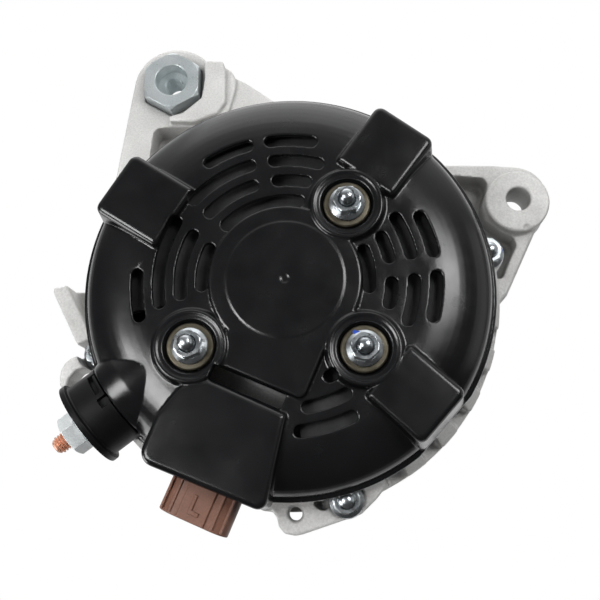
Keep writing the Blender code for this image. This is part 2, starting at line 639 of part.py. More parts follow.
def make_bearings():
    race("front_bearing_inner_race", 8.5, 24, 12.9, 60.9, 74.9, 16.15, 4.3)
    race("front_bearing_outer_race", 23.5, 28, 19.4, 60.9, 74.9, 16.15, 4.3)
    make_balls("front_bearing_balls", 8, 16.15, 3.9, 67.9, 1.2)
    race("rear_bearing_inner_race", 7.5, 20, 9.9, 5.7, 14.7, 11.75, 2.75)
    race("rear_bearing_outer_race", 16.0, 24, 13.6, 5.7, 14.7, 11.75, 2.75)
    make_balls("rear_bearing_balls", 8, 11.75, 2.4, 10.2, 1.0)
    plate = revolve("bearing_retainer", ((18.5, 58.6), (31.0, 58.6), (31.0, 60.2), (18.5, 60.2)), 24, "bare_steel")
    for k in range(RETAINER_SCREWS):
        x, z = polar(SCREW_CIRCLE, 90.0 + 120.0 * k)
        cut(plate, prism("hole", circle((x, z), 2.1, 12), 56.0, 62.0))
    finish(plate)
    head = ((0.0, 56.6), (2.6, 56.6), (3.4, 57.4), (3.4, 58.3), (1.8, 58.3), (1.8, 68.5), (0.0, 68.5))
    screw = revolve("retainer_screw_1", head, 12, "zinc_steel")
    screw.location = Vector((*polar(SCREW_CIRCLE, 90.0), 0.0)).xzy * MM
    for k in range(1, RETAINER_SCREWS):
        copy_to(screw, f"retainer_screw_{k + 1}", *polar(SCREW_CIRCLE, 90.0 + 120.0 * k))


# ---------------------------------------------------------------- fasteners

def flange_nut(name, seat, slot="zinc_steel"):
    """A small flange nut whose flange rests on the seat and faces the cover side."""
    nut = prism(name, circle((0, 0), 4.6, 6), seat - 4.9, seat - 0.9, slot)
    flange = ((0.0, seat - 1.6), (4.7, seat - 1.6), (5.8, seat - 0.9), (5.8, seat), (0.0, seat))
    add(nut, revolve("flange", flange, 10, slot))
    cut(nut, prism("bore", circle((0, 0), STUD_HOLE, 8), seat - 7.0, seat + 2.0))
    return finish(nut)


def make_fasteners():
    tip = SLEEVE_FACE - 9.4
    stud = ((0.0, tip), (1.6, tip), (2.5, tip + 1.0), (2.5, 7.6), (0.0, 7.6))
    cover_stud = revolve("cover_stud_1", stud, 12, "zinc_steel")
    cover_nut = flange_nut("cover_nut_1", SLEEVE_FACE - GAP)
    sleeve = ((STUD_HOLE, SLEEVE_FACE), (SLEEVE_RADIUS, SLEEVE_FACE), (SLEEVE_RADIUS, -13.4), (5.0, -13.4),
              (5.0, 3.2), (STUD_HOLE, 3.2))
    cover_sleeve = revolve("cover_sleeve_1", sleeve, 16, "olive_steel")
    for k, (x, z) in enumerate(COVER_STUDS):
        for source, name in ((cover_stud, "cover_stud"), (cover_nut, "cover_nut"), (cover_sleeve, "cover_sleeve")):
            if k:
                copy_to(source, f"{name}_{k + 1}", x, z)
            else:
                source.location = (x * MM, 0.0, z * MM)
    nuts = 0
    for k, angle in enumerate(THROUGH_ANGLES):
        x, z = polar(THROUGH_CIRCLE, angle)
        if k == HEAD_BOLT:
            make_head_bolt(f"through_stud_{k + 1}", x, z)
            continue
        nuts += 1
        tip = LUG_STARTS[k] - 8.2
        bolt = ((0.0, tip), (1.6, tip), (2.5, tip + 1.0), (2.5, 60.5), (0.0, 60.5))
        revolve(f"through_stud_{k + 1}", bolt, 10, "zinc_steel", (x, z))
        nut = flange_nut(f"through_nut_{nuts}", LUG_STARTS[k] - GAP)
        nut.location = (x * MM, 0.0, z * MM)
    make_insert()


def make_head_bolt(name, x, z):
    """A hexagon-head bolt that goes in from the pulley side and ends in a blind lug."""
    bolt = prism(name, circle((x, z), 4.8, 6), HEAD_SEAT, HEAD_SEAT + 4.3, "zinc_steel")
    shank = ((0.0, 18.5), (1.9, 18.5), (2.5, 19.2), (2.5, HEAD_SEAT + 1.0), (0.0, HEAD_SEAT + 1.0))
    add(bolt, revolve("shank", shank, 12, "zinc_steel", (x, z)))
    finish(bolt)


def make_insert():
    insert = prism("mounting_insert", circle(INSERT_AXIS, 12.6, 6, 30.0), 32.2, 38.0, "zinc_steel")
    face = ((0.0, 31.2), (10.8, 31.2), (11.6, 33.0), (7.0, 36.0), (7.0, EAR_FRONT - GAP), (0.0, EAR_FRONT - GAP))
    add(insert, revolve("bush", face, 18, "zinc_steel", INSERT_AXIS))
    bore = ((0.0, 30.0), (6.4, 30.0), (6.4, 37.5), (INSERT_BORE, 39.0), (INSERT_BORE, 54.0), (0.0, 54.0))
    cut(insert, revolve("bore", bore, 16, centre=INSERT_AXIS))
    finish(insert)


# ---------------------------------------------------------------- rectifier, regulator and brushes

def make_rectifier():
    plates = (
        ("rectifier_negative_plate", 0.3, 2.6, 24.0, 60.0, -88.0, 192.0),
        ("rectifier_positive_plate", -9.0, -6.4, 24.0, 56.0, -85.0, 190.0),
    )
    for name, s0, s1, inner, outer, start, end in plates:
        plate = prism(name, sector(inner, outer, start, end, 20), s0, s1, "plate_aluminium")
        for x, z in COVER_STUDS:
            cut(plate, prism("hole", circle((x, z), 5.4, 10), s0 - 2.0, s1 + 2.0))
        for angle in (-22.0, 15.0, 110.0, 172.0):
            x, z = polar(50.0 if name.endswith("negative_plate") else 44.0, angle)
            low, high = (-2.8, s0 + 0.5) if name.endswith("negative_plate") else (s1 - 0.5, -3.5)
            add(plate, prism("diode", circle((x, z), 4.6, 10), low, high, "plate_aluminium"))
        finish(plate)


def make_regulator(frame):
    body = rounded(((43.0, -11.0), (61.0, -12.5), (61.0, 15.0), (42.5, 12.8)), 1.5)
    prism("regulator", body, -13.6, -0.2, "dark_plastic", frame)
    middle = 2.4
    station = -4.2
    half = 5.6
    oval = arc((0, 0), half, 0.0, 180.0, 8)
    outline = [(station + u, middle + 5.9 + w) for u, w in oval]
    outline += [(station - u, middle - 5.9 - w) for u, w in oval]
    connector = rod("regulator_connector", outline, 61.3, CONNECTOR_END, "brown_plastic", frame)
    panel = ((station - 6.4, middle - 5.0), (station - 4.5, middle - 5.0), (station - 4.5, middle + 4.2),
             (station - 6.4, middle + 4.2))
    add(connector, rod("panel", panel, 61.5, CONNECTOR_END - 0.2, "brown_plastic", frame))
    inner = [(station + 0.74 * u, middle + 5.9 + 0.74 * w) for u, w in oval]
    inner += [(station - 0.74 * u, middle - 5.9 - 0.74 * w) for u, w in oval]
    cut(connector, rod("socket", inner, 64.5, 84.0, frame=frame))
    for k, w in enumerate(PIN_PLACES):
        slot = ((station - 0.7, w - 1.3), (station + 0.7, w - 1.3), (station + 0.7, w + 1.3), (station - 0.7, w + 1.3))
        cut(connector, rod("pin_slot", slot, 60.0, 66.0, frame=frame))
        pin = ((station - 0.35, w - 1.0), (station + 0.35, w - 1.0), (station + 0.35, w + 1.0), (station - 0.35, w + 1.0))
        rod(f"connector_pin_{k + 1}", pin, 61.4, 70.0, "copper", frame)
    finish(connector)


CONNECTOR_END = 79.2
PIN_PLACES = (-3.2, 2.4, 8.0)
BRUSH_STATIONS = (-9.5, -3.7)


def make_brushes(frame):
    holder = prism("brush_holder", rectangle(10.0, 30.5, -5.6, 5.6), -13.2, 0.0, "dark_plastic", frame)
    for k, s in enumerate(BRUSH_STATIONS):
        cut(holder, prism("channel", rectangle(8.0, 28.5, -3.5, 3.5), s - 2.4, s + 2.4, frame=frame))
        prism(f"brush_{k + 1}", rectangle(7.9, 19.0, -3.2, 3.2), s - 2.1, s + 2.1, "graphite", frame)
        make_spring(f"brush_spring_{k + 1}", s, frame)
    finish(holder)


def make_spring(name, station, frame):
    """A closed coil spring behind a brush, from the brush to the end of its channel."""
    turns = 5
    steps = 7
    wire = 0.28
    radius = 1.5
    start = 19.0 + GAP + wire
    length = 28.5 - GAP - wire - start
    sides = 3
    points = []
    for k in range(turns * steps + 1):
        turn = 2.0 * math.pi * k / steps
        u = start + length * k / (turns * steps)
        for j in range(sides):
            around = 2.0 * math.pi * j / sides
            reach = radius + wire * math.cos(around)
            points.append((u + wire * math.sin(around), station + reach * math.cos(turn), reach * math.sin(turn)))
    faces = [list(range(sides)), list(range(len(points) - sides, len(points)))]
    for k in range(turns * steps):
        for j in range(sides):
            i = (j + 1) % sides
            faces.append([k * sides + j, k * sides + i, (k + 1) * sides + i, (k + 1) * sides + j])
    add_object(name, points, faces, "bare_steel", frame)


# ---------------------------------------------------------------- output terminal

def turned_rod(name, profile, frame, slot, segments):
    """Turn a profile of (radius, u) points round the output stud's axis."""
    points = []
    rings = []
    for radius, u in profile:
        if radius < 1e-6:
            rings.append([len(points)] * segments)
            points.append((u, TERMINAL_STATION, TERMINAL_OFFSET))
            continue
        rings.append(list(range(len(points), len(points) + segments)))
        for k in range(segments):
            turn = 2.0 * math.pi * k / segments
            points.append((u, TERMINAL_STATION + radius * math.cos(turn), TERMINAL_OFFSET + radius * math.sin(turn)))
    faces = []
    for ring, after in zip(rings, rings[1:] + rings[:1]):
        if ring[0] == ring[1] and after[0] == after[1]:
            continue
        for k in range(segments):
            j = (k + 1) % segments
            faces.append(list(dict.fromkeys((ring[k], ring[j], after[j], after[k]))))
    return add_object(name, points, faces, slot, frame)


def make_terminal(frame):
    barrel = ((3.4, 56.0), (9.8, 56.0), (9.8, 65.9), (13.0, 65.9), (13.0, 75.8), (14.5, 76.3), (14.5, 78.2),
              (3.4, 78.2))
    turned_rod("terminal_insulator", barrel, frame, "black_plastic", 20)
    stud = ((0.0, 53.5), (5.0, 53.5), (5.0, 55.7), (3.0, 55.7), (3.0, 89.4), (2.2, 90.4), (0.0, 90.4))
    turned_rod("terminal_stud", stud, frame, "copper", 14)
    washer = ((3.3, 78.5), (7.6, 78.5), (7.6, 79.7), (3.3, 79.7))
    turned_rod("terminal_washer", washer, frame, "zinc_steel", 18)
    centre = (TERMINAL_STATION, TERMINAL_OFFSET)
    nut = rod("terminal_nut", circle(centre, 6.93, 6, 12.0), 80.0, 85.2, "zinc_steel", frame)
    cut(nut, rod("bore", circle(centre, 3.3, 18), 77.0, 88.0, frame=frame))
    finish(nut)


def build():
    clear_scene()
    brush_frame = turned_frame("brush_frame", BRUSH_ANGLE)
    terminal_frame = turned_frame("terminal_frame", TERMINAL_ANGLE)
    make_cover(brush_frame, terminal_frame)
    make_rear_frame(terminal_frame, brush_frame)
    make_front_frame()
    make_stator()
    make_rotor()
    make_bearings()
    make_fasteners()
    make_rectifier()
    make_regulator(brush_frame)
    make_brushes(brush_frame)
    make_terminal(terminal_frame)


build()
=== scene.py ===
"""The looks of a car alternator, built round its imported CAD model.

Lengths are millimetres and angles are degrees until a point is placed. A station, s, is a place
along the rotor axis, 0 at the rear cover's rim and growing toward the pulley. A pole angle is
measured from +X toward +Z. In a turned frame (u, s, w), u runs outward at a pole angle.
"""
import math

import bmesh
import bpy
from mathutils import Matrix, Vector


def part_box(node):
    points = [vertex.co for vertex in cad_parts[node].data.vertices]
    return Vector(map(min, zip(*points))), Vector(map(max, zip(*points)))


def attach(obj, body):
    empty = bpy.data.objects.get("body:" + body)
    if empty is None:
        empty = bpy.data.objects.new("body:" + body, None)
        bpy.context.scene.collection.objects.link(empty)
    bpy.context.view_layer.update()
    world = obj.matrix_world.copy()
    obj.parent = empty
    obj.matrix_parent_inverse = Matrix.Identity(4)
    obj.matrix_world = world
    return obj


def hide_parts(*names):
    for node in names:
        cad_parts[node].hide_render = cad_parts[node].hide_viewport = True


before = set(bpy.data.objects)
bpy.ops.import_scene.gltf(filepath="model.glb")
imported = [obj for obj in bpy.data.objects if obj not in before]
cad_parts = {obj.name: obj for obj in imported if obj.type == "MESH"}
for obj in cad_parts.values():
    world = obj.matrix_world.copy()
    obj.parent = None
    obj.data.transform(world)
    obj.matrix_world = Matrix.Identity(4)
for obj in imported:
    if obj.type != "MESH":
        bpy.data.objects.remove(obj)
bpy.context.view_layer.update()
MM = 0.001

# ---------------------------------------------------------------- places, read from the CAD


def middle(node):
    """The middle of a node's box across the rotor axis: (x, z) in millimetres."""
    low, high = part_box(node)
    return ((low.x + high.x) / 2.0 / MM, (low.z + high.z) / 2.0 / MM)


COVER_TOP = -17.2
STATION = COVER_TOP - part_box("rear_cover")[0].y / MM
RIM = (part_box("rear_cover")[1].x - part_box("rear_cover")[0].x) / 2.0 / MM
SHAFT_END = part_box("rotor_shaft")[1].y / MM + STATION
COVER_STUDS = [middle(f"cover_nut_{k}") for k in (1, 2, 3)]
THROUGH_STUDS = [middle(f"through_stud_{k}") for k in (1, 2, 3, 4)]
HEAD_BOLT = 1
INSERT = middle("mounting_insert")
PLAIN_EAR = (84.5, 43.0)
PLAIN_BOSS = (84.1, 42.2)
BRUSH_ANGLE = 247.0
TERMINAL_ANGLE = 217.0
TERMINAL_W = -4.5
TERMINAL_S = 1.0


def place(u, s, w, angle=0.0):
    turn = math.radians(angle)
    x = u * math.cos(turn) - w * math.sin(turn)
    z = u * math.sin(turn) + w * math.cos(turn)
    return Vector((x * MM, (s - STATION) * MM, z * MM))


def along_s(angle=0.0, centre=(0.0, 0.0)):
    """A map from (a, b, c) with c along the rotor axis, and a and b in a turned frame."""
    return lambda a, b, c: place(a + centre[0], c, b + centre[1], angle)


def along_u(angle, s0=0.0, w0=0.0):
    """A map from (a, b, c) with c outward at a pole angle, a along the rotor axis and b across."""
    return lambda a, b, c: place(c, s0 + a, w0 + b, angle)


# ---------------------------------------------------------------- outlines

def arc(centre, radius, start, end, steps):
    found = []
    for k in range(steps + 1):
        turn = math.radians(start + (end - start) * k / steps)
        found.append((centre[0] + radius * math.cos(turn), centre[1] + radius * math.sin(turn)))
    return found


def circle(centre, radius, steps, turn=0.0):
    return arc(centre, radius, turn, turn + 360.0, steps)[:-1]


def polar(radius, angle):
    turn = math.radians(angle)
    return (radius * math.cos(turn), radius * math.sin(turn))


def rectangle(u0, u1, w0, w1):
    return [(u0, w0), (u1, w0), (u1, w1), (u0, w1)]


def rounded(outline, radius, steps=6):
    """The outline with its corners rounded; radius is one value or one for each corner."""
    radii = radius if isinstance(radius, (list, tuple)) else [radius] * len(outline)
    found = []
    for k, corner in enumerate(outline):
        here = Vector(corner)
        before = Vector(outline[k - 1]) - here
        after = Vector(outline[(k + 1) % len(outline)]) - here
        shortest = min(before.length, after.length) * 0.48
        before.normalize()
        after.normalize()
        half = before.angle(after) / 2.0
        if radii[k] <= 0.0 or half > math.radians(87.0) or shortest < 1e-4:
            found.append(tuple(here))
            continue
        reach = min(radii[k] / math.tan(half), shortest)
        radius_here = reach * math.tan(half)
        centre = here + (before + after).normalized() * (radius_here / math.sin(half))
        first = here + before * reach - centre
        last = here + after * reach - centre
        sweep = first.angle_signed(last)
        for step in range(steps + 1):
            turn = -sweep * step / steps
            found.append((
                centre.x + first.x * math.cos(turn) - first.y * math.sin(turn),
                centre.y + first.x * math.sin(turn) + first.y * math.cos(turn),
            ))
    return found


def area(outline):
    total = 0.0
    for (a, b), (c, d) in zip(outline, outline[1:] + outline[:1]):
        total += a * d - b * c
    return total / 2.0


def inset(outline, distance):
    """The outline moved inward by a small distance."""
    side = 1.0 if area(outline) > 0.0 else -1.0
    found = []
    for k, corner in enumerate(outline):
        here = Vector(corner)
        before = (here - Vector(outline[k - 1])).normalized()
        after = (Vector(outline[(k + 1) % len(outline)]) - here).normalized()
        normal = (Vector((-before.y, before.x)) + Vector((-after.y, after.x))) * side
        if normal.length < 1e-6:
            found.append(tuple(here))
            continue
        normal.normalize()
        spread = max(0.4, normal.dot(Vector((-before.y, before.x)) * side))
        found.append(tuple(here + normal * (distance / spread)))
    return found


def soft(profile, radius, steps=3):
    """A turned profile with its corners off the axis rounded."""
    radii = [0.0 if point[0] < 1e-6 else radius for point in profile]
    return rounded(list(profile), radii, steps)


def arc_slot(mid, half_width, start, end):
    lean = math.degrees(half_width / mid)
    first = start + lean
    last = end - lean
    steps = max(3, round((last - first) / 3.0))
    outer = arc((0, 0), mid + half_width, first, last, steps)
    far_end = arc(polar(mid, last), half_width, last, last + 180.0, 10)[1:-1]
    inner = arc((0, 0), mid - half_width, last, first, steps)
    near_end = arc(polar(mid, first), half_width, first + 180.0, first + 360.0, 10)[1:-1]
    return outer + far_end + inner + near_end


# ---------------------------------------------------------------- meshes

def mesh_object(name, points, faces):
    mesh = bpy.data.meshes.new(name)
    mesh.from_pydata([tuple(p) for p in points], [], faces)
    shape = bmesh.new()
    shape.from_mesh(mesh)
    bmesh.ops.recalc_face_normals(shape, faces=shape.faces)
    shape.to_mesh(mesh)
    shape.free()
    made = bpy.data.objects.new(name, mesh)
    bpy.context.scene.collection.objects.link(made)
    return made


def lathe(name, profile, segments=96, way=None):
    """Turn a closed profile of (radius, c) points round the c axis of a map."""
    way = way or along_s()
    points = []
    rings = []
    for radius, c in profile:
        if radius < 1e-6:
            rings.append([len(points)] * segments)
            points.append(way(0.0, 0.0, c))
            continue
        rings.append(list(range(len(points), len(points) + segments)))
        for k in range(segments):
            turn = 2.0 * math.pi * k / segments
            points.append(way(radius * math.cos(turn), radius * math.sin(turn), c))
    faces = []
    for ring, after in zip(rings, rings[1:] + rings[:1]):
        if ring[0] == ring[1] and after[0] == after[1]:
            continue
        for k in range(segments):
            j = (k + 1) % segments
            faces.append(list(dict.fromkeys((ring[k], ring[j], after[j], after[k]))))
    return mesh_object(name, points, faces)


def extrude(name, outline, c0, c1, way=None, top=None, edge=0.0, both=False, steps=3):
    """Extrude an outline from c0 to c1, with the edge at c1 (and c0) rounded by edge."""
    way = way or along_s()
    top = top or outline
    sense = 1.0 if c1 > c0 else -1.0
    count = len(outline)
    layers = []
    if both and edge > 0.0:
        for k in range(steps):
            turn = math.radians(90.0 * k / steps)
            layers.append((inset(outline, edge * (1.0 - math.sin(turn))),
                           c0 + sense * edge * (1.0 - math.cos(turn))))
    layers.append((outline, c0 + (sense * edge if both else 0.0)))
    share = 1.0 - edge / max(abs(c1 - c0), 1e-9)
    near_top = [(a + (c - a) * share, b + (d - b) * share) for (a, b), (c, d) in zip(outline, top)]
    layers.append((near_top, c1 - sense * edge))
    if edge > 0.0:
        for k in range(1, steps + 1):
            turn = math.radians(90.0 * k / steps)
            layers.append((inset(top, edge * (1.0 - math.cos(turn))),
                           c1 - sense * edge * (1.0 - math.sin(turn))))
    points = []
    for loop, c in layers:
        points += [way(a, b, c) for a, b in loop]
    faces = [list(range(count)), list(range(len(points) - count, len(points)))]
    for layer in range(len(layers) - 1):
        base = layer * count
        for k in range(count):
            j = (k + 1) % count
            faces.append([base + k, base + j, base + count + j, base + count + k])
    return mesh_object(name, points, faces)


def tube(name, path, radius, sides=8, way=None):
    """A closed round bar along a path of (a, b, c) points."""
    way = way or along_s()
    places = [way(*p) for p in path]
    rings = []
    up = None
    for k, here in enumerate(places):
        ahead = places[min(k + 1, len(places) - 1)] - places[max(k - 1, 0)]
        ahead.normalize()
        if up is None:
            up = ahead.orthogonal().normalized()
        up = (up - ahead * up.dot(ahead)).normalized()
        side = ahead.cross(up)
        ring = []
        for j in range(sides):
            turn = 2.0 * math.pi * j / sides
            ring.append(here + (up * math.cos(turn) + side * math.sin(turn)) * (radius * MM))
        rings.append(ring)
    points = [p for ring in rings for p in ring]
    faces = [list(range(sides)), list(range(len(points) - sides, len(points)))]
    for k in range(len(rings) - 1):
        for j in range(sides):
            i = (j + 1) % sides
            faces.append([k * sides + j, k * sides + i, (k + 1) * sides + i, (k + 1) * sides + j])
    return mesh_object(name, points, faces)


def drop(thing):
    mesh = thing.data
    bpy.data.objects.remove(thing)
    bpy.data.meshes.remove(mesh)


def join(things):
    """Several bodies in one object."""
    first = things[0]
    shape = bmesh.new()
    for thing in things:
        shape.from_mesh(thing.data)
    shape.to_mesh(first.data)
    shape.free()
    for thing in things[1:]:
        drop(thing)
    return first


def combine(target, tool, operation):
    modifier = target.modifiers.new("combine", "BOOLEAN")
    modifier.operation = operation
    modifier.solver = "MANIFOLD"
    modifier.object = tool
    apply(target)
    drop(tool)
    return target


def add(target, *tools):
    for tool in tools:
        combine(target, tool, "UNION")


def cut(target, *tools):
    for tool in tools:
        combine(target, tool, "DIFFERENCE")


def piece(thing, name, body, look, nodes=(), bevel=0.0, merge=0.02, smooth=32.0, segments=2):
    """Clean a mesh, give it its edges, its material and its place in the frame."""
    thing.name = name
    thing.data.name = name
    shape = bmesh.new()
    shape.from_mesh(thing.data)
    if merge > 0.0:
        bmesh.ops.remove_doubles(shape, verts=shape.verts, dist=merge * MM)
        bmesh.ops.dissolve_degenerate(shape, edges=shape.edges, dist=merge * MM * 0.5)
    shape.to_mesh(thing.data)
    shape.free()
    thing.data.materials.clear()
    thing.data.materials.append(look)
    thing.data.shade_smooth()
    if bevel > 0.0:
        edges = thing.modifiers.new("edges", "BEVEL")
        edges.width = bevel * MM
        edges.segments = segments
        edges.limit_method = "ANGLE"
        edges.angle_limit = math.radians(smooth)
        edges.use_clamp_overlap = False
        edges.miter_outer = "MITER_ARC"
        edges.harden_normals = False
        even = thing.modifiers.new("normals", "WEIGHTED_NORMAL")
        even.keep_sharp = True
    else:
        thing.data.set_sharp_from_angle(angle=math.radians(smooth))
    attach(thing, body)
    if nodes:
        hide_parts(*nodes)
    return thing


def cast(thing, voxel, rounds, limit):
    """Give a casting its soft edges and fillets: even cells, smoothed, then thinned to a number of faces."""
    cells = thing.modifiers.new("cells", "REMESH")
    cells.mode = "VOXEL"
    cells.voxel_size = voxel * MM
    even = thing.modifiers.new("even", "SMOOTH")
    even.factor = 0.5
    even.iterations = rounds
    apply(thing)
    count = len(thing.data.polygons) * 2
    if count > limit:
        thin = thing.modifiers.new("thin", "DECIMATE")
        thin.ratio = limit / count
        apply(thing)


def apply(thing):
    """Keep the mesh that the object's modifiers make, and drop the modifiers."""
    bpy.context.view_layer.update()
    evaluated = thing.evaluated_get(bpy.context.evaluated_depsgraph_get())
    mesh = bpy.data.meshes.new_from_object(evaluated)
    thing.modifiers.clear()
    spent = thing.data
    thing.data = mesh
    bpy.data.meshes.remove(spent)


# ---------------------------------------------------------------- materials

NOISE_RANGE = (0.3, 0.7)
GRAIN_SHADE = (0.88, 1.08)


def ramp(nodes, points):
    made = nodes.new("ShaderNodeValToRGB")
    elements = made.color_ramp.elements
    elements[0].position, elements[0].color = points[0][0], (*points[0][1], 1.0)
    elements[1].position, elements[1].color = points[-1][0], (*points[-1][1], 1.0)
    for place_at, colour in points[1:-1]:
        extra = elements.new(place_at)
        extra.color = (*colour, 1.0)
    return made


def remap(nodes, links, value, old, new, smooth=False):
    """A value carried from the range old to the range new."""
    made = nodes.new("ShaderNodeMapRange")
    if smooth:
        made.interpolation_type = "SMOOTHSTEP"
    ends = zip(("From Min", "From Max", "To Min", "To Max"), (*old, *new))
    for socket, number in ends:
        made.inputs[socket].default_value = number
    links.new(value, made.inputs["Value"])
    return made.outputs["Result"]


def scaled(nodes, links, colour, factor):
    """A colour times a factor."""
    made = nodes.new("ShaderNodeVectorMath")
    made.operation = "SCALE"
    links.new(colour, made.inputs[0])
    links.new(factor, made.inputs["Scale"])
    return made.outputs["Vector"]


def noise(nodes, links, source, scale, detail=3.0, stretch=(1.0, 1.0, 1.0), rough=0.55):
    mapping = nodes.new("ShaderNodeMapping")
    mapping.inputs["Scale"].default_value = stretch
    links.new(source, mapping.inputs["Vector"])
    made = nodes.new("ShaderNodeTexNoise")
    made.inputs["Scale"].default_value = scale
    made.inputs["Detail"].default_value = detail
    made.inputs["Roughness"].default_value = rough
    links.new(mapping.outputs["Vector"], made.inputs["Vector"])
    return made.outputs["Fac"]


def look(name, dark, light, rough, metallic, grain, depth, patch=90.0, edge_colour=None, stretch=(1.0, 1.0, 1.0),
         specular=0.5, coat=0.0, fine=None, painted_hollow_shade=None):
    """A surface whose colour wanders between dark and light, with grain as bump and a varying gloss.

    grain is the grain's scale per metre, depth the bump's height in millimetres, patch the scale of
    the colour's wandering, rough a (low, high) pair, and edge_colour a colour that convex edges take. fine is
    a second bump's (scale, height, stretch), and painted_hollow_shade the (reach, darkest shade) of painted
    shade in hollows.
    """
    made = bpy.data.materials.new(name)
    made.use_nodes = True
    nodes = made.node_tree.nodes
    links = made.node_tree.links
    shader = nodes["Principled BSDF"]
    shader.inputs["Metallic"].default_value = metallic
    shader.inputs["Specular IOR Level"].default_value = specular
    shader.inputs["Coat Weight"].default_value = coat
    shader.inputs["Coat Roughness"].default_value = 0.2
    source = nodes.new("ShaderNodeTexCoord").outputs["Object"]
    wander = noise(nodes, links, source, patch, 4.0, stretch)
    colours = ramp(nodes, [(0.32, dark), (0.68, light)])
    links.new(wander, colours.inputs["Fac"])
    colour = colours.outputs["Color"]
    speck = noise(nodes, links, source, grain, 2.0, stretch)
    colour = scaled(nodes, links, colour, remap(nodes, links, speck, NOISE_RANGE, GRAIN_SHADE))
    # Convex edges, found by their pointiness, are mixed toward a set edge colour.
    if edge_colour:
        edge = nodes.new("ShaderNodeNewGeometry").outputs["Pointiness"]
        where = remap(nodes, links, edge, (0.53, 0.62), (0.0, 0.7))
        mix = nodes.new("ShaderNodeMix")
        mix.data_type = "RGBA"
        links.new(where, mix.inputs["Factor"])
        links.new(colour, mix.inputs["A"])
        mix.inputs["B"].default_value = (*edge_colour, 1.0)
        colour = mix.outputs["Result"]
    # Painted shade: the colour is darkened where ambient occlusion finds other surfaces near, in pockets,
    # hollows and corners.
    if painted_hollow_shade:
        hollow = nodes.new("ShaderNodeAmbientOcclusion")
        hollow.inputs["Distance"].default_value = painted_hollow_shade[0] * MM
        hollow.samples = 6
        shade = remap(nodes, links, hollow.outputs["AO"], (0.25, 0.85), (painted_hollow_shade[1], 1.0))
        colour = scaled(nodes, links, colour, shade)
    links.new(colour, shader.inputs["Base Color"])
    patches = noise(nodes, links, source, patch * 2.3, 3.0, stretch)
    links.new(remap(nodes, links, patches, NOISE_RANGE, rough), shader.inputs["Roughness"])
    bump = nodes.new("ShaderNodeBump")
    bump.inputs["Strength"].default_value = 1.0
    bump.inputs["Distance"].default_value = depth * MM
    links.new(speck, bump.inputs["Height"])
    if fine:
        second = nodes.new("ShaderNodeBump")
        second.inputs["Strength"].default_value = 1.0
        second.inputs["Distance"].default_value = fine[1] * MM
        links.new(noise(nodes, links, source, fine[0], 3.0, fine[2]), second.inputs["Height"])
        links.new(bump.outputs["Normal"], second.inputs["Normal"])
        bump = second
    links.new(bump.outputs["Normal"], shader.inputs["Normal"])
    return made


# The cast aluminium carries painted shade that darkens its colour in pockets and hollows.
CAST = look("cast aluminium", (0.66, 0.655, 0.64), (0.80, 0.795, 0.78), (0.40, 0.60), 0.15, 1500.0, 0.045,
            60.0, specular=0.45, fine=(420.0, 0.05, (1.0, 1.0, 1.0)), painted_hollow_shade=(14.0, 0.38))
BLACK = look("satin black plastic", (0.0050, 0.0051, 0.0058), (0.0088, 0.0089, 0.0100), (0.20, 0.28), 0.0,
             2600.0, 0.008, 45.0, specular=0.6)
TERMINAL_BLACK = look("terminal black plastic", (0.0032, 0.0032, 0.0036), (0.0065, 0.0065, 0.007),
                      (0.35, 0.5), 0.0,
                      2600.0, 0.012, 60.0, specular=0.25)
ZINC = look("zinc plated steel", (0.50, 0.55, 0.58), (0.72, 0.75, 0.77), (0.22, 0.38), 1.0, 1800.0, 0.008,
            120.0,
            edge_colour=(0.80, 0.83, 0.85))
INSERT_ZINC = look("turned zinc steel", (0.60, 0.66, 0.67), (0.72, 0.77, 0.78), (0.26, 0.38), 0.5, 2200.0,
                   0.01,
                   100.0, edge_colour=(0.75, 0.78, 0.80))
# Painted light: a near-white, barely metallic copy of the zinc steel that makes the terminal washer and nut
# look brightly lit.
TERMINAL_ZINC_PAINTED_LIGHT = look("zinc steel with painted light", (0.84, 0.89, 0.90), (0.93, 0.96, 0.96), (0.28, 0.40), 0.15,
                     2200.0, 0.01,
                   100.0, edge_colour=(0.75, 0.78, 0.80))
STEEL = look("machined steel", (0.34, 0.34, 0.345), (0.50, 0.50, 0.505), (0.22, 0.38), 1.0, 1600.0, 0.01,
             80.0)
PRESSED = look("pressed steel", (0.30, 0.30, 0.31), (0.44, 0.44, 0.45), (0.30, 0.46), 1.0, 900.0, 0.02, 60.0)
OLIVE = look("olive passivated steel", (0.10, 0.088, 0.062), (0.20, 0.18, 0.135), (0.34, 0.52), 0.85, 1400.0,
             0.014,
             150.0)
COPPER = look("copper", (0.66, 0.29, 0.17), (0.92, 0.52, 0.36), (0.24, 0.42), 0.35, 1500.0, 0.012, 160.0)
BROWN = look("brown plastic", (0.20, 0.095, 0.064), (0.27, 0.135, 0.095), (0.34, 0.48), 0.0, 1800.0, 0.012,
             90.0,
             specular=0.4)
CORE = look("varnished core steel", (0.045, 0.043, 0.042), (0.105, 0.10, 0.097), (0.38, 0.56), 0.7, 1500.0,
            0.02,
            70.0, fine=(1500.0, 0.03, (0.05, 1.0, 0.05)))
POLE = look("forged pole steel", (0.06, 0.058, 0.057), (0.15, 0.148, 0.145), (0.36, 0.55), 0.8, 1200.0, 0.03,
            60.0)
WIRE = look("enamelled copper wire", (0.30, 0.085, 0.028), (0.50, 0.17, 0.06), (0.22, 0.36), 0.7, 900.0, 0.02,
            110.0,
            coat=0.3)
GRAPHITE = look("graphite", (0.018, 0.018, 0.019), (0.045, 0.045, 0.047), (0.40, 0.6), 0.3, 2400.0, 0.02,
                200.0)
DARK = look("dark moulded plastic", (0.010, 0.010, 0.011), (0.020, 0.020, 0.022), (0.42, 0.58), 0.0, 2000.0,
            0.015,
            80.0, specular=0.35)
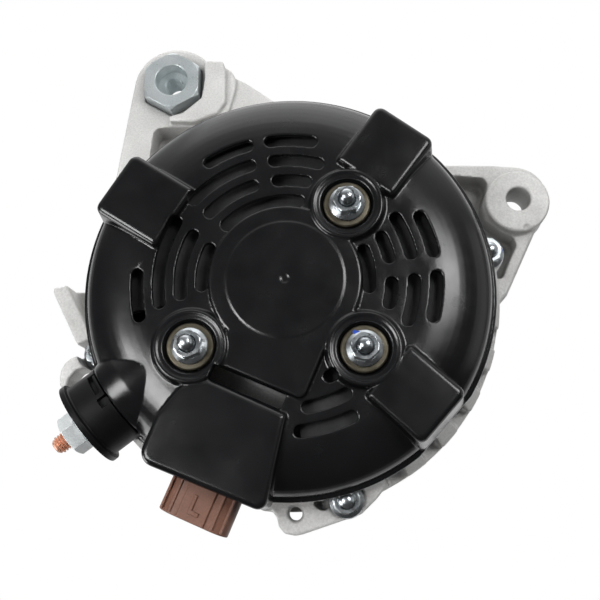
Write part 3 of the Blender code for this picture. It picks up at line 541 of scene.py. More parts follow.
# Painted shade: the rectifier plates are near black so that the cover's slots look as dark as the shade
# inside the cover.
PLATE_PAINTED_SHADE = look("rectifier plate", (0.020, 0.020, 0.021), (0.045, 0.045, 0.047), (0.45, 0.6), 0.3, 1200.0, 0.02,
             80.0)
BLUE = look("blue paint mark", (0.006, 0.035, 0.30), (0.02, 0.09, 0.55), (0.35, 0.5), 0.0, 900.0, 0.05, 300.0)


# ---------------------------------------------------------------- rear cover

FACE = -14.6
WALL = 2.2
DOME_START = 45.0
SLOT_HALF_WIDTH = 1.95
SLOTS = (
    (47.1, ((103.2, 124.3), (77.5, 98.6), (8.4, 27.7), (-17.0, 3.1), (174.6, 195.9), (273.3, 297.7))),
    (40.2, ((104.0, 140.2), (72.1, 98.2), (8.8, 32.3), (-21.8, 2.3), (148.1, 192.4), (277.3, 300.1))),
    (33.3, ((105.3, 140.3), (75.4, 97.6), (8.7, 27.6), (-16.7, 1.2), (149.6, 190.5), (291.0, 299.0))),
    (26.4, ((76.7, 139.9), (-9.6, 25.1), (152.1, 187.1))),
)
# each box: pole angle, then how far it reaches across and outward at its face
BOXES = ((147.6, -9.7, 12.8, 40.8, 64.4), (53.5, -11.8, 10.2, 41.3, 64.2), (318.2, -10.9, 9.9, 42.5, 64.0))
BOX_FLAT = 66.8
HOOD = ((37.6, -9.3), (42.3, -16.2), (53.0, -19.7), (68.4, -19.4), (67.4, 22.4), (38.2, 17.2))
HOOD_ROUND = (1.2, 4.0, 7.0, 4.5, 3.0, 1.5)
HOOD_CAVITY = ((40.0, -8.3), (43.6, -14.2), (53.3, -17.2), (65.1, -17.2), (65.1, 18.6), (40.6, 15.3))


def dome(radius, depth, start, steps=14):
    rim = -1.2
    found = []
    for k in range(steps + 1):
        turn = math.radians(90.0 * k / steps)
        found.append((start + (radius - start) * math.sin(turn), rim - (rim - depth) * math.cos(turn)))
    return found


def keyhole(radius, left, right, end, corner):
    first = math.degrees(math.asin(right / radius))
    last = 360.0 - math.degrees(math.asin(left / radius))
    tail = rounded([(end - 5.0, -left), (end, -left), (end, right), (end - 5.0, right)], [0, 0.8, corner, 0])
    return arc((0, 0), radius, first, last, 72) + tail


def make_cover():
    brush = along_s(BRUSH_ANGLE)
    lip = [(67.3, -1.2), (RIM, -0.7), (RIM, 0.7), (67.7, 1.0), (0.0, 1.0)]
    cover = lathe("cover", [(0.0, FACE)] + dome(66.4, FACE, DOME_START) + lip, 180)
    add(cover, extrude("plate", keyhole(24.0, 10.0, 20.0, 32.5, 2.5), -12.6, -16.5, brush, edge=0.7, steps=4))
    add(cover, extrude("disc", circle((0, 0), 18.6, 96), -15.0, -16.75, brush, edge=0.22))
    for x, z in COVER_STUDS:
        raised = [(0.0, -12.9), (12.5, -13.4), (12.0, -15.4), (11.3, -17.2), (10.4, -17.2), (9.9, -16.8),
                  (0.0, -16.8)]
        add(cover, lathe("collar", soft(raised, 0.5), 72, along_s(0.0, (x, z))))
    for angle, w0, w1, u0, u1 in BOXES:
        base = rounded(rectangle(u0 - 1.2, BOX_FLAT, w0 - 1.3, w1 + 1.3), [1.5, 3.2, 3.2, 1.5])
        top = rounded(rectangle(u0, u1 + 0.5, w0, w1), [1.2, 2.6, 2.6, 1.2])
        add(cover, extrude("box", base, 0.6, -17.0, along_s(angle), top, 1.7, steps=6))
        cut(cover, extrude("flat", rectangle(BOX_FLAT, 72.0, w0 - 3.0, w1 + 3.0), 2.0, -18.0, along_s(angle)))
    top = rounded(HOOD, HOOD_ROUND)
    base = rounded([(u if u < 60.0 else u + 0.2, w * 1.015) for u, w in HOOD], HOOD_ROUND)
    add(cover, extrude("hood", base, 3.0, -16.7, brush, top, 2.0, steps=7))
    collar = along_u(TERMINAL_ANGLE, TERMINAL_S, TERMINAL_W)
    neck = [(0.0, 50.0), (15.0, 50.0), (15.0, 58.8), (14.7, 60.2), (13.7, 64.2), (13.4, 65.2), (12.9, 65.6),
            (0.0, 65.6)]
    add(cover, lathe("neck", soft(neck, 0.3), 96, collar))

    beyond = ((0.0, 3.1), (62.0, 3.1), (66.1, 3.9), (72.2, 11.5), (72.2, 30.0), (0.0, 30.0))
    cut(cover, lathe("beyond", beyond, 144))
    inside = dome(64.2, FACE + WALL, DOME_START + 1.0, 10)
    cut(cover, lathe("inside", [(0.0, FACE + WALL)] + inside + [(64.2, 8.0), (0.0, 8.0)], 144))
    cut(cover, extrude("pocket", keyhole(21.8, 8.0, 17.8, 31.0, 1.5), -9.0, -14.3, brush))
    for angle, w0, w1, u0, u1 in BOXES:
        cut(cover,
            extrude("room", rectangle(u0 + 3.0, u1 - 0.5, w0 + 1.8, w1 - 1.8), -3.0, -14.8, along_s(angle)))
    cut(cover, extrude("hood_room", rounded(HOOD_CAVITY, 1.5), 9.0, -14.5, brush))
    cut(cover, extrude("mouth", rectangle(60.0, 74.0, -10.4, 15.2), 9.0, -11.4, brush))
    cut(cover, lathe("rim_notch", [(0.0, 65.6), (14.0, 65.6), (14.0, 80.0), (0.0, 80.0)], 48, collar))
    cut(cover, lathe("bore", [(0.0, 46.0), (10.8, 46.0), (10.8, 70.0), (0.0, 70.0)], 48, collar))
    for x, z in COVER_STUDS:
        sink = [(0.0, -20.0), (9.1, -20.0), (9.1, -17.0), (8.3, -16.6), (8.3, -15.4), (7.75, -15.4),
                (7.75, -8.0),
                (0.0, -8.0)]
        cut(cover, lathe("sink", sink, 72, along_s(0.0, (x, z))))
    slots = [extrude("slot", arc_slot(mid, SLOT_HALF_WIDTH, a, b), -10.5, -18.5) for mid,
             spans in SLOTS for a, b in spans]
    slots.append(extrude("window", rounded(rectangle(32.9, 37.6, -9.6, 14.6), 0.5, 3), -11.0, -19.0, brush))
    cut(cover, *slots)
    gate = [(0.0, -20.0), (1.5, -20.0), (1.5, -16.6), (1.1, -16.45), (0.0, -16.45)]
    cut(cover, lathe("gate", gate, 32))
    cast(cover, 0.36, 2, 190000)
    piece(cover, "cover", "housing", BLACK, ["rear_cover"], merge=0.0, smooth=60.0)


# ---------------------------------------------------------------- studs, nuts and sleeves

def thread(core, crest, start, end, pitch):
    """Ridges of a screw thread as (radius, c) points from start to end."""
    found = []
    steps = max(1, int(abs(end - start) / pitch))
    pace = (end - start) / steps
    for k in range(steps):
        here = start + pace * k
        found += [(core, here + pace * 0.06), (crest, here + pace * 0.44), (crest, here + pace * 0.56),
                  (core, here + pace * 0.94)]
    return found


def hex_blank(name, across, c0, c1, way, turn, chamfer, both=True):
    """A hexagonal blank whose corners are turned off at its ends."""
    blank = extrude(name, circle((0, 0), across / 2.0 / math.cos(math.radians(30.0)), 6, turn), c0, c1, way)
    sense = 1.0 if c1 > c0 else -1.0
    wide = across / 2.0 / math.cos(math.radians(30.0)) + 1.0
    flat = across / 2.0 * 0.985
    slope = (wide - flat) * chamfer
    near = c0 + sense * slope if both else c0 - sense * 0.5
    limit = [(0.0, c0 - (0.0 if both else sense * 0.5)),
             (flat if both else wide, c0 - (0.0 if both else sense * 0.5)),
             (wide, near), (wide, c1 - sense * slope), (flat, c1), (0.0, c1)]
    combine(blank, lathe("limit", limit, 72, way), "INTERSECT")
    return blank


def flange_nut(name, seat, x, z, turn):
    way = along_s(0.0, (x, z))
    nut = hex_blank(name, 8.0, seat - 1.0, seat - 4.9, way, turn, 0.5, False)
    flange = [(0.0, seat), (5.6, seat), (5.8, seat - 0.35), (5.6, seat - 0.75), (4.4, seat - 1.5),
              (0.0, seat - 1.5)]
    add(nut, lathe("flange", soft(flange, 0.15, 2), 60, way))
    bore = [(0.0, seat + 1.0), (2.6, seat + 1.0), (2.6, seat - 4.2), (3.1, seat - 5.2), (0.0, seat - 5.2)]
    cut(nut, lathe("bore", bore, 40, way))
    return nut


def make_fasteners():
    for k, (x, z) in enumerate(COVER_STUDS):
        way = along_s(0.0, (x, z))
        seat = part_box(f"cover_nut_{k + 1}")[1].y / MM + STATION
        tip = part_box(f"cover_stud_{k + 1}")[0].y / MM + STATION
        nut = flange_nut(f"flange_nut_{k + 1}", seat, x, z, (6.0, 22.0, 44.0)[k])
        piece(nut, f"flange_nut_{k + 1}", "housing", ZINC, [f"cover_nut_{k + 1}"], bevel=0.1)
        ridge = thread(2.05, 2.44, tip + 0.9, seat - 0.2, 0.8)
        body = [(0.0, tip), (1.2, tip + 0.06), (1.8, tip + 0.45)] + ridge + [(2.4, seat), (2.4, 7.6),
                                                                             (0.0, 7.6)]
        piece(lathe("stud", body, 48, way), f"threaded_stud_{k + 1}", "housing", ZINC,
              [f"cover_stud_{k + 1}"], smooth=50.0)
        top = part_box(f"cover_sleeve_{k + 1}")[0].y / MM + STATION
        ring = [(2.8, top + 0.4), (3.2, top), (7.0, top), (7.4, top + 0.4), (7.4, -13.4), (5.0, -13.4),
                (5.0, 3.2),
                (2.8, 3.2)]
        sleeve = lathe("sleeve", soft(ring, 0.2, 2), 72, way)
        piece(sleeve, f"sleeve_{k + 1}", "housing", OLIVE, [f"cover_sleeve_{k + 1}"])
    nuts = 0
    for k, (x, z) in enumerate(THROUGH_STUDS):
        way = along_s(0.0, (x, z))
        low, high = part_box(f"through_stud_{k + 1}")
        tip = low.y / MM + STATION
        end = high.y / MM + STATION
        if k == HEAD_BOLT:
            make_head_bolt(f"through_stud_{k + 1}", way, tip, end)
            continue
        nuts += 1
        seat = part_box(f"through_nut_{nuts}")[1].y / MM + STATION
        nut = flange_nut(f"bolt_nut_{nuts}", seat, x, z, (12.0, 40.0, 18.0)[nuts - 1])
        piece(nut, f"bolt_nut_{nuts}", "housing", ZINC, [f"through_nut_{nuts}"], bevel=0.1)
        ridge = thread(2.05, 2.44, tip + 0.9, seat - 0.2, 0.8)
        body = [(0.0, tip), (1.2, tip + 0.06), (1.8, tip + 0.45)] + ridge
        body += [(2.4, seat), (2.4, end - 0.4), (2.0, end), (0.0, end)]
        piece(lathe("bolt", body, 48, way), f"bolt_{k + 1}", "housing", ZINC,
              [f"through_stud_{k + 1}"], smooth=50.0)
    make_insert()


def make_head_bolt(node, way, tip, end):
    """A hexagon-head bolt that goes in from the pulley side."""
    seat = end - 4.3
    bolt = hex_blank("head", 8.0, seat + 0.4, end, way, 0.0, 0.4, False)
    add(bolt, lathe("collar", soft([(0.0, seat), (4.5, seat), (4.5, seat + 0.8), (0.0, seat + 0.8)], 0.15, 2),
                    48, way))
    ridge = thread(2.05, 2.44, tip + 0.9, 36.0, 0.8)
    shank = [(0.0, tip), (1.8, tip), (2.0, tip + 0.4)] + ridge + [(2.44, 37.0), (2.44, seat + 0.5),
                                                                  (0.0, seat + 0.5)]
    add(bolt, lathe("shank", shank, 48, way))
    piece(bolt, "head_bolt", "housing", ZINC, [node], smooth=50.0)


def make_insert():
    way = along_s(0.0, INSERT)
    low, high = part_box("mounting_insert")
    face = low.y / MM + STATION
    end = high.y / MM + STATION
    nut = extrude("insert", circle((0, 0), 12.4, 6, 30.0), 38.0, face + 0.2, way)
    limit = [(0.0, 39.0), (13.2, 39.0), (13.2, face + 1.9), (10.8, face), (0.0, face)]
    combine(nut, lathe("limit", soft(limit, 0.15, 2), 96, way), "INTERSECT")
    add(nut, lathe("bush", [(0.0, 36.0), (7.0, 36.0), (7.0, end - 0.5), (6.6, end), (0.0, end)], 64, way))
    ridge = thread(4.45, 5.05, 39.2, end - 1.0, 1.5)
    bore = [(0.0, face - 1.0), (6.9, face - 1.0), (6.9, face), (6.35, face + 0.5), (6.35, 37.2), (5.05, 38.6)]
    bore += ridge + [(5.05, end), (5.3, end + 1.0), (0.0, end + 1.0)]
    cut(nut, lathe("bore", bore, 72, way))
    piece(nut, "ear_insert", "housing", INSERT_ZINC, ["mounting_insert"], bevel=0.12)


# ---------------------------------------------------------------- output terminal

def make_terminal():
    way = along_u(TERMINAL_ANGLE, TERMINAL_S, TERMINAL_W)
    barrel = [(3.4, 56.0), (9.8, 56.0), (9.8, 65.9), (13.0, 65.9), (13.0, 75.6), (13.3, 76.0), (14.5, 76.3),
              (14.5, 78.2), (9.0, 78.2), (8.6, 77.7), (3.4, 77.7)]
    body = lathe("insulator", soft(barrel, 0.3), 96, way)
    for start, end, low, high in ((193.0, 231.5, 66.9, 68.5), (227.5, 231.5, 65.0, 68.5),
                                  (171.5, 185.5, 65.9, 69.1)):
        groove = arc((0, 0), 14.6, start, end, 12) + arc((0, 0), 11.4, end, start, 10)
        cut(body, extrude("groove", groove, low, high, way))
    piece(body, "insulator", "housing", TERMINAL_BLACK, ["terminal_insulator"], bevel=0.22)
    end = 90.4
    ridge = thread(2.35, 2.97, 78.2, end - 1.2, 1.0)
    stud = [(0.0, 53.5), (5.0, 53.5), (5.0, 55.6), (2.95, 55.8), (2.95, 78.0)] + ridge
    stud += [(2.5, end - 0.7), (1.9, end), (0.0, end)]
    piece(lathe("post", stud, 64, way), "output_post", "housing", COPPER, ["terminal_stud"],
          smooth=50.0)
    ring = [(3.3, 78.5), (7.6, 78.5), (7.6, 79.7), (3.3, 79.7)]
    piece(lathe("washer", soft(ring, 0.25), 72, way), "post_washer", "housing", TERMINAL_ZINC_PAINTED_LIGHT,
          ["terminal_washer"])
    nut = hex_blank("nut", 12.0, 80.0, 85.2, way, 12.0, 0.45)
    bore = [(0.0, 78.8), (3.9, 79.7), (3.15, 80.7), (3.15, 84.5), (3.9, 85.5), (0.0, 86.8)]
    cut(nut, lathe("bore", bore, 48, way))
    piece(nut, "post_nut", "housing", TERMINAL_ZINC_PAINTED_LIGHT, ["terminal_nut"], bevel=0.15)


# ---------------------------------------------------------------- plug socket, regulator and brushes

PIN_PLACES = (-3.2, 2.4, 8.0)
SOCKET_S = -4.2
SOCKET_W = 2.4
SOCKET_SPREAD = 5.9
SOCKET_RADIUS = 5.6
SOCKET_END = 79.2


def oval(radius, steps=16):
    top = arc((0.0, SOCKET_SPREAD), radius, 0.0, 180.0, steps)
    return top + [(-a, -b) for a, b in top]


def make_socket():
    way = along_u(BRUSH_ANGLE, SOCKET_S, SOCKET_W)
    body = extrude("socket", oval(SOCKET_RADIUS), 61.3, SOCKET_END, way, edge=0.4)
    panel = rounded(rectangle(-6.4, -4.4, -5.0, 4.2), 0.4, 2)
    add(body, extrude("panel", panel, 61.5, SOCKET_END - 0.2, way, edge=0.3))
    for w0, w1, u0, u1 in ((-2.0, 1.6, 75.6, 76.8), (-2.0, -0.8, 70.8, 76.8)):
        add(body, extrude("tab", rounded(rectangle(-6.95, -5.6, w0, w1), 0.3, 2), u0, u1, way, edge=0.25))
    for w in (-10.3, -7.4, 6.6, 9.6):
        rib = rectangle(-6.1 if abs(w) < 9.0 else -5.0, -2.0, w - 0.4, w + 0.4)
        add(body, extrude("rib", rib, 62.0, SOCKET_END - 0.6, way))
    cut(body, extrude("room", oval(SOCKET_RADIUS * 0.76), 64.5, 84.0, way))
    for w in PIN_PLACES:
        cut(body, extrude("pin_slot", rectangle(-0.7, 0.7, w - SOCKET_W - 1.3, w - SOCKET_W + 1.3), 60.0,
                          66.0, way))
    piece(body, "plug_socket", "housing", BROWN, ["regulator_connector"], bevel=0.16)
    for k, w in enumerate(PIN_PLACES):
        shape = rounded(rectangle(-0.34, 0.34, w - SOCKET_W - 1.0, w - SOCKET_W + 1.0), 0.1, 2)
        pin = extrude("pin", shape, 61.4, 70.0, way, inset(shape, 0.08), 0.2)
        piece(pin, f"plug_pin_{k + 1}", "housing", COPPER, [f"connector_pin_{k + 1}"])


def make_regulator():
    brush = along_s(BRUSH_ANGLE)
    body = extrude("regulator", rounded([(43.2, -10.8), (60.8, -12.3), (60.8, 14.8), (42.7, 12.6)], 1.5),
                   -0.3, -13.4,
                   brush, edge=0.6)
    for k in range(7):
        fin = extrude("fin", rectangle(45.0, 59.0, -8.6 + 3.2 * k, -7.4 + 3.2 * k), -12.0, -15.0, brush)
        cut(body, fin)
    piece(body, "voltage_regulator", "housing", DARK, ["regulator"], bevel=0.15)
    holder = extrude("holder", rounded(rectangle(10.1, 30.4, -5.5, 5.5), 0.6, 3), -0.1, -13.1, brush,
                     edge=0.4)
    for k, s in enumerate((-9.5, -3.7)):
        channel = extrude("channel", rounded(rectangle(-2.4, 2.4, -3.5, 3.5), 0.25, 2), 8.0, 28.5,
                          along_u(BRUSH_ANGLE, s))
        cut(holder, channel)
        shape = rounded(rectangle(-2.05, 2.05, -3.15, 3.15), 0.3, 3)
        block = extrude("brush", shape, 19.0, 7.95, along_u(BRUSH_ANGLE, s), edge=0.25, both=True)
        worn = lathe("ring", [(0.0, s - 4.0), (7.9, s - 4.0), (7.9, s + 4.0), (0.0, s + 4.0)], 96)
        cut(block, worn)
        piece(block, f"carbon_brush_{k + 1}", "brush_a" if k == 0 else "brush_b", GRAPHITE,
              [f"brush_{k + 1}"], merge=0.005)
        turns, per = 7, 20
        path = []
        for step in range(turns * per + 1):
            turn = 2.0 * math.pi * step / per
            path.append((1.5 * math.cos(turn), 1.5 * math.sin(turn), 19.6 + 8.3 * step / (turns * per)))
        coil = tube("spring", path, 0.24, 8, along_u(BRUSH_ANGLE, s))
        piece(coil, f"spring_{k + 1}", "housing", STEEL, [f"brush_spring_{k + 1}"], merge=0.0)
    piece(holder, "brush_box", "housing", DARK, ["brush_holder"], bevel=0.12)


def make_rectifier():
    plates = (
        ("rectifier_negative_plate", 0.35, 2.55, 24.1, 59.9, -87.8, 191.8, 50.0, -2.8),
        ("rectifier_positive_plate", -8.95, -6.45, 24.1, 55.9, -84.8, 189.8, 44.0, -3.5),
    )
    for name, s0, s1, inner, outer, start, end, circle_radius, reach in plates:
        outline = arc((0, 0), outer, start, end, 120) + arc((0, 0), inner, end, start, 90)
        plate = extrude("plate", outline, s1, s0, edge=0.3, both=True, steps=2)
        for x, z in COVER_STUDS:
            cut(plate, lathe("hole", [(0.0, s0 - 2.0), (5.4, s0 - 2.0), (5.4, s1 + 2.0), (0.0, s1 + 2.0)], 40,
                             along_s(0.0, (x, z))))
        near = s1 - 0.5 if reach > s1 else s0 + 0.5
        for angle in (-22.0, 15.0, 110.0, 172.0):
            cup = [(0.0, near), (4.6, near), (4.6, reach), (0.0, reach)]
            if near > reach:
                cup = cup[::-1]
            add(plate, lathe("diode", soft(cup, 0.4), 40, along_s(0.0, polar(circle_radius, angle))))
        # The plates take the near-black colour that paints the shade seen through the cover's slots.
        piece(plate, name.replace("_plate", ""), "housing", PLATE_PAINTED_SHADE, [name], bevel=0.1)


# ---------------------------------------------------------------- cast frames

LUG_STARTS = (14.0, 17.5, 20.0, 10.4)
TAIL_START = 10.0
TAIL = ((-7.0, -62.0), (-6.0, -70.2), (-4.1, -72.9), (-3.5, -75.6), (-1.5, -77.8), (1.9, -78.4), (4.4, -77.9),
        (23.2, -71.6), (25.1, -69.8), (28.3, -66.7), (32.0, -62.0))
TAIL_HOLE = (1.9, -71.5)
GUARD = ((-66.0, -15.0), (-71.9, -17.0), (-73.9, -18.9), (-76.2, -19.9), (-77.9, -21.4), (-79.0, -23.8),
         (-79.4, -26.0), (-79.0, -30.0), (-76.6, -30.0), (-76.1, -27.0), (-73.6, -24.0), (-69.6, -22.8),
         (-66.0, -21.5))


def side_windows(made, angles, s0, s1, inner, outer, wide):
    for angle in angles:
        outline = rounded(rectangle(s0, s1, -wide, wide), 1.2, 3)
        cut(made, extrude("window", outline, inner, outer, along_u(angle)))


def blend_ring(x, z, radius, s0, s1, flare):
    """A boss on a face at s1 that flares where it meets it."""
    sense = 1.0 if s1 > s0 else -1.0
    profile = [(0.0, s0), (radius - 0.5, s0), (radius, s0 + sense * 0.5), (radius, s1 - sense * flare)]
    for k in range(1, 6):
        turn = math.radians(18.0 * k)
        profile.append((radius + flare * (1.0 - math.cos(turn)), s1 - sense * flare * (1.0 - math.sin(turn))))
    profile += [(radius + flare, s1 + sense), (0.0, s1 + sense)]
    return lathe("boss", profile, 72, along_s(0.0, (x, z)))


def make_rear_frame():
    profile = [(0.0, 3.5), (62.0, 3.5), (66.0, 4.5), (71.2, 12.0), (71.2, 23.8), (0.0, 23.8)]
    made = lathe("rear_frame", soft(profile, 0.8), 168)
    for k, (x, z) in enumerate(THROUGH_STUDS):
        seat = LUG_STARTS[k]
        lug = [(0.0, seat), (5.7, seat), (6.0, seat + 0.3), (6.2, 23.1), (5.8, 23.5), (0.0, 23.5)]
        add(made, lathe("lug", lug, 60, along_s(0.0, (x, z))))
    add(made, extrude("tail", rounded(TAIL, 1.0, 3), 17.0, TAIL_START, edge=0.7, both=True))
    add(made, extrude("guard", rounded(GUARD, 0.8, 3), 23.4, 12.5, edge=0.5, both=True))
    hollow = [(0.0, 0.0), (8.4, 0.0), (8.4, 5.4), (16.3, 5.4), (16.3, 15.0), (20.6, 15.0), (20.6, 8.0),
              (61.5, 8.0),
              (66.8, 13.0), (66.8, 30.0), (0.0, 30.0)]
    cut(made, lathe("hollow", hollow, 144))
    for k, (x, z) in enumerate(THROUGH_STUDS):
        way = along_s(0.0, (x, z))
        start = LUG_STARTS[k] + 0.7 if k == HEAD_BOLT else 5.0
        cut(made, lathe("hole", [(0.0, start), (2.8, start), (2.8, 30.0), (0.0, 30.0)], 40, way))
        if k != HEAD_BOLT:
            cut(made, lathe("spot", [(0.0, -2.0), (6.3, -2.0), (6.3, LUG_STARTS[k]), (0.0, LUG_STARTS[k])],
                            60, way))
    cut(made,
        lathe("tail_hole", [(0.0, 7.0), (3.3, 9.2), (2.2, 11.0), (2.2, 16.2), (2.9, 17.6), (0.0, 19.0)], 48,
                    along_s(0.0, TAIL_HOLE)))
    cut(made, lathe("tail_pocket", [(0.0, 8.0), (2.8, 8.0), (2.6, 13.4), (2.0, 14.0), (0.0, 14.0)], 40,
                    along_s(0.0, (10.8, -67.6))))
    cut(made, extrude("hood_flat", rectangle(68.4, 80.0, -27.0, 23.0), 26.0, 2.0, along_s(BRUSH_ANGLE)))
    for x, z in COVER_STUDS:
        cut(made,
            lathe("stud_hole", [(0.0, 0.0), (2.8, 0.0), (2.8, 12.0), (0.0, 12.0)], 40, along_s(0.0, (x, z))))
    for k in range(8):
        middle_angle = 22.5 + 45.0 * k
        vent = arc((0, 0), 58.0, -16.0, 16.0, 12) + arc((0, 0), 41.5, 16.0, -16.0, 10)
        cut(made, extrude("vent", rounded(vent, 2.0, 3), 0.0, 12.0, along_s(middle_angle)))
    way = along_u(TERMINAL_ANGLE, TERMINAL_S, TERMINAL_W)
    cut(made, lathe("notch", [(0.0, 52.0), (14.4, 52.0), (14.4, 90.0), (0.0, 90.0)], 72, way))
    angles = [start + 12.0 * k for start in (26.0, 120.0, 300.0) for k in range(5)]
    side_windows(made, angles, 6.5, 15.5, 63.0, 80.0, 3.6)
    cast(made, 0.5, 3, 150000)
    piece(made, "rear_frame", "housing", CAST, ["rear_end_frame"], merge=0.0, smooth=60.0)


SHOULDER = ((-36.2, 103.2), (-28.6, 102.8), (-27.3, 98.5), (-27.2, 85.2), (-30.4, 80.4), (-39.6, 76.9),
            (-49.5, 77.5), (-49.6, 79.6), (-44.0, 81.2), (-36.9, 87.4), (-35.9, 95.4))
RIDGE = ((-30.0, 101.6), (-26.8, 100.6), (-25.3, 99.4), (-23.2, 95.5), (-23.5, 91.5), (-26.0, 82.0),
         (-32.0, 78.0))
EAR_POCKET = ((-57.8, 60.0), (-57.3, 64.3), (-56.3, 74.4), (-54.8, 76.2), (-50.2, 76.7), (-39.5, 76.4),
              (-36.0, 73.0), (-33.0, 66.0), (-36.0, 60.0))
RIGHT_HEAD = arc((83.9, 45.1), 12.4, 85.0, -18.0, 20)
RIGHT_EAR = [(40.0, 55.0), (57.0, 58.8), (75.0, 58.4)] + RIGHT_HEAD + [(79.0, 6.6), (66.0, -6.0),
                                                                       (60.0, 20.0)]
RIGHT_POCKET = ((56.0, 52.0), (60.7, 54.0), (62.8, 54.1), (72.6, 53.0), (73.9, 50.5), (73.2, 46.0),
                (71.6, 42.0),
                (72.5, 36.0), (78.0, 31.4), (82.6, 29.0), (83.4, 25.8), (80.9, 20.6), (77.5, 12.6),
                (70.5, 15.0),
                (66.0, 34.0))


def make_ears(made):
    head = arc((-48.2, 94.0), 16.7, 170.0, 35.0, 24)
    ear = [(-58.0, 36.0), (-71.4, 44.6), (-70.9, 54.0)] + head + [(-28.5, 99.6), (-20.5, 95.6), (0.0, 81.0),
                                                                 (12.0, 66.0), (0.0, 60.0)]
    radii = [0, 2.5, 3.0] + [0] * len(head) + [3.0, 6.0, 6.0, 0, 0]
    add(made, extrude("ear", rounded(ear, radii), 50.9, 37.0, edge=0.9, both=True))
    add(made, extrude("ridge", rounded(RIDGE, 2.2), 50.4, 35.2, edge=0.9, both=True))
    add(made, extrude("shoulder", rounded(SHOULDER, 0.9), 50.6, 33.0, edge=0.7, both=True))
    add(made, extrude("right_ear", RIGHT_EAR, 50.9, 38.0, edge=1.0, both=True))
    bar = rounded(((-91.9, 9.9), (-86.1, 11.9), (-75.0, -8.8), (-80.9, -11.5)), (1.0, 1.2, 1.0, 0.8))
    add(made, extrude("bar", bar, 50.9, 34.0, edge=0.7, both=True))
    nub = rounded(((-91.0, 8.6), (-91.3, 10.8), (-89.4, 11.0), (-88.6, 9.0)), 0.6, 3)
    add(made, extrude("nub", nub, 44.0, 33.95, edge=0.4))
    web = ((-86.0, 11.9), (-66.0, 11.6), (-66.0, -9.0), (-75.6, -8.6))
    add(made, extrude("web", web, 50.9, 46.0))


def make_front_frame():
    profile = [(0.0, 42.0), (69.8, 42.0), (69.8, 58.5), (66.0, 65.5), (32.0, 65.5), (32.0, 75.0),
               (29.0, 78.0),
               (0.0, 78.0)]
    made = lathe("drive_frame", soft(profile, 1.2, 4), 168)
    for x, z in THROUGH_STUDS:
        lug = [(0.0, 42.3), (5.8, 42.3), (6.1, 42.6), (5.9, 59.4), (5.5, 60.0), (0.0, 60.0)]
        add(made, lathe("lug", lug, 60, along_s(0.0, (x, z))))
    make_ears(made)
    hollow = [(0.0, 30.0), (66.8, 30.0), (66.8, 55.0), (61.5, 61.0), (23.8, 61.0), (23.8, 75.3), (14.2, 75.3),
              (14.2, 80.0), (0.0, 80.0)]
    cut(made, lathe("hollow", hollow, 144))
    cut(made, extrude("right_pocket", rounded(RIGHT_POCKET, 1.6), 30.0, 48.0, edge=1.2))
    add(made, blend_ring(PLAIN_BOSS[0], PLAIN_BOSS[1], 12.0, 34.0, 46.2, 0.3))
    dent = lathe("dent", [(0.0, 32.6), (1.7, 32.6), (1.4, 34.5), (0.0, 34.8)], 24, along_s(0.0, (87.0, 31.6)))
    cut(made, dent)
    bore = [(0.0, 30.0), (5.1, 33.4), (4.5, 34.5), (4.5, 50.5), (5.1, 51.6), (0.0, 54.0)]
    cut(made, lathe("ear_bore", bore, 64, along_s(0.0, PLAIN_EAR)))
    cut(made,
        lathe("insert_bore", [(0.0, 30.0), (7.4, 30.0), (7.4, 55.0), (0.0, 55.0)], 64, along_s(0.0, INSERT)))
    cut(made, extrude("nut_pocket", circle(INSERT, 13.1, 6, 30.0), 30.0, 38.4))
    cut(made, extrude("ear_pocket", rounded(EAR_POCKET, 1.2), 30.0, 49.0, edge=0.8))
    mark = [(3.2, 36.5), (3.55, 36.5), (3.55, 37.22), (3.2, 37.22)]
    cut(made, lathe("ejector", mark, 64, along_s(0.0, (-61.7, 74.4))))
    cut(made, extrude("crease", rectangle(-64.2, -63.85, 82.0, 95.0), 36.5, 37.16))
    for k, (x, z) in enumerate(THROUGH_STUDS):
        way = along_s(0.0, (x, z))
        cut(made, lathe("hole", [(0.0, 30.0), (2.8, 30.0), (2.8, 62.0), (0.0, 62.0)], 40, way))
        if k == HEAD_BOLT:
            cut(made, lathe("spot", [(0.0, 60.0), (5.3, 60.0), (5.3, 70.0), (0.0, 70.0)], 48, way))
    for k in range(3):
        way = along_s(0.0, polar(27.6, 90.0 + 120.0 * k))
        cut(made, lathe("screw_hole", [(0.0, 58.0), (2.1, 58.0), (2.1, 70.0), (0.0, 70.0)], 32, way))
    for k in range(12):
        vent = arc((0, 0), 56.5, -10.5, 10.5, 10) + arc((0, 0), 38.5, 10.5, -10.5, 8)
        cut(made, extrude("vent", rounded(vent, 2.0, 3), 58.0, 70.0, along_s(30.0 * k)))
    angles = [start + 18.0 * k for start in (124.0, 214.0, 306.0) for k in range(3)]
    side_windows(made, angles, 52.5, 60.5, 63.0, 80.0, 3.6)
    cast(made, 0.5, 3, 180000)
    piece(made, "drive_frame", "housing", CAST, ["drive_end_frame"], merge=0.0, smooth=60.0)


# ---------------------------------------------------------------- stator

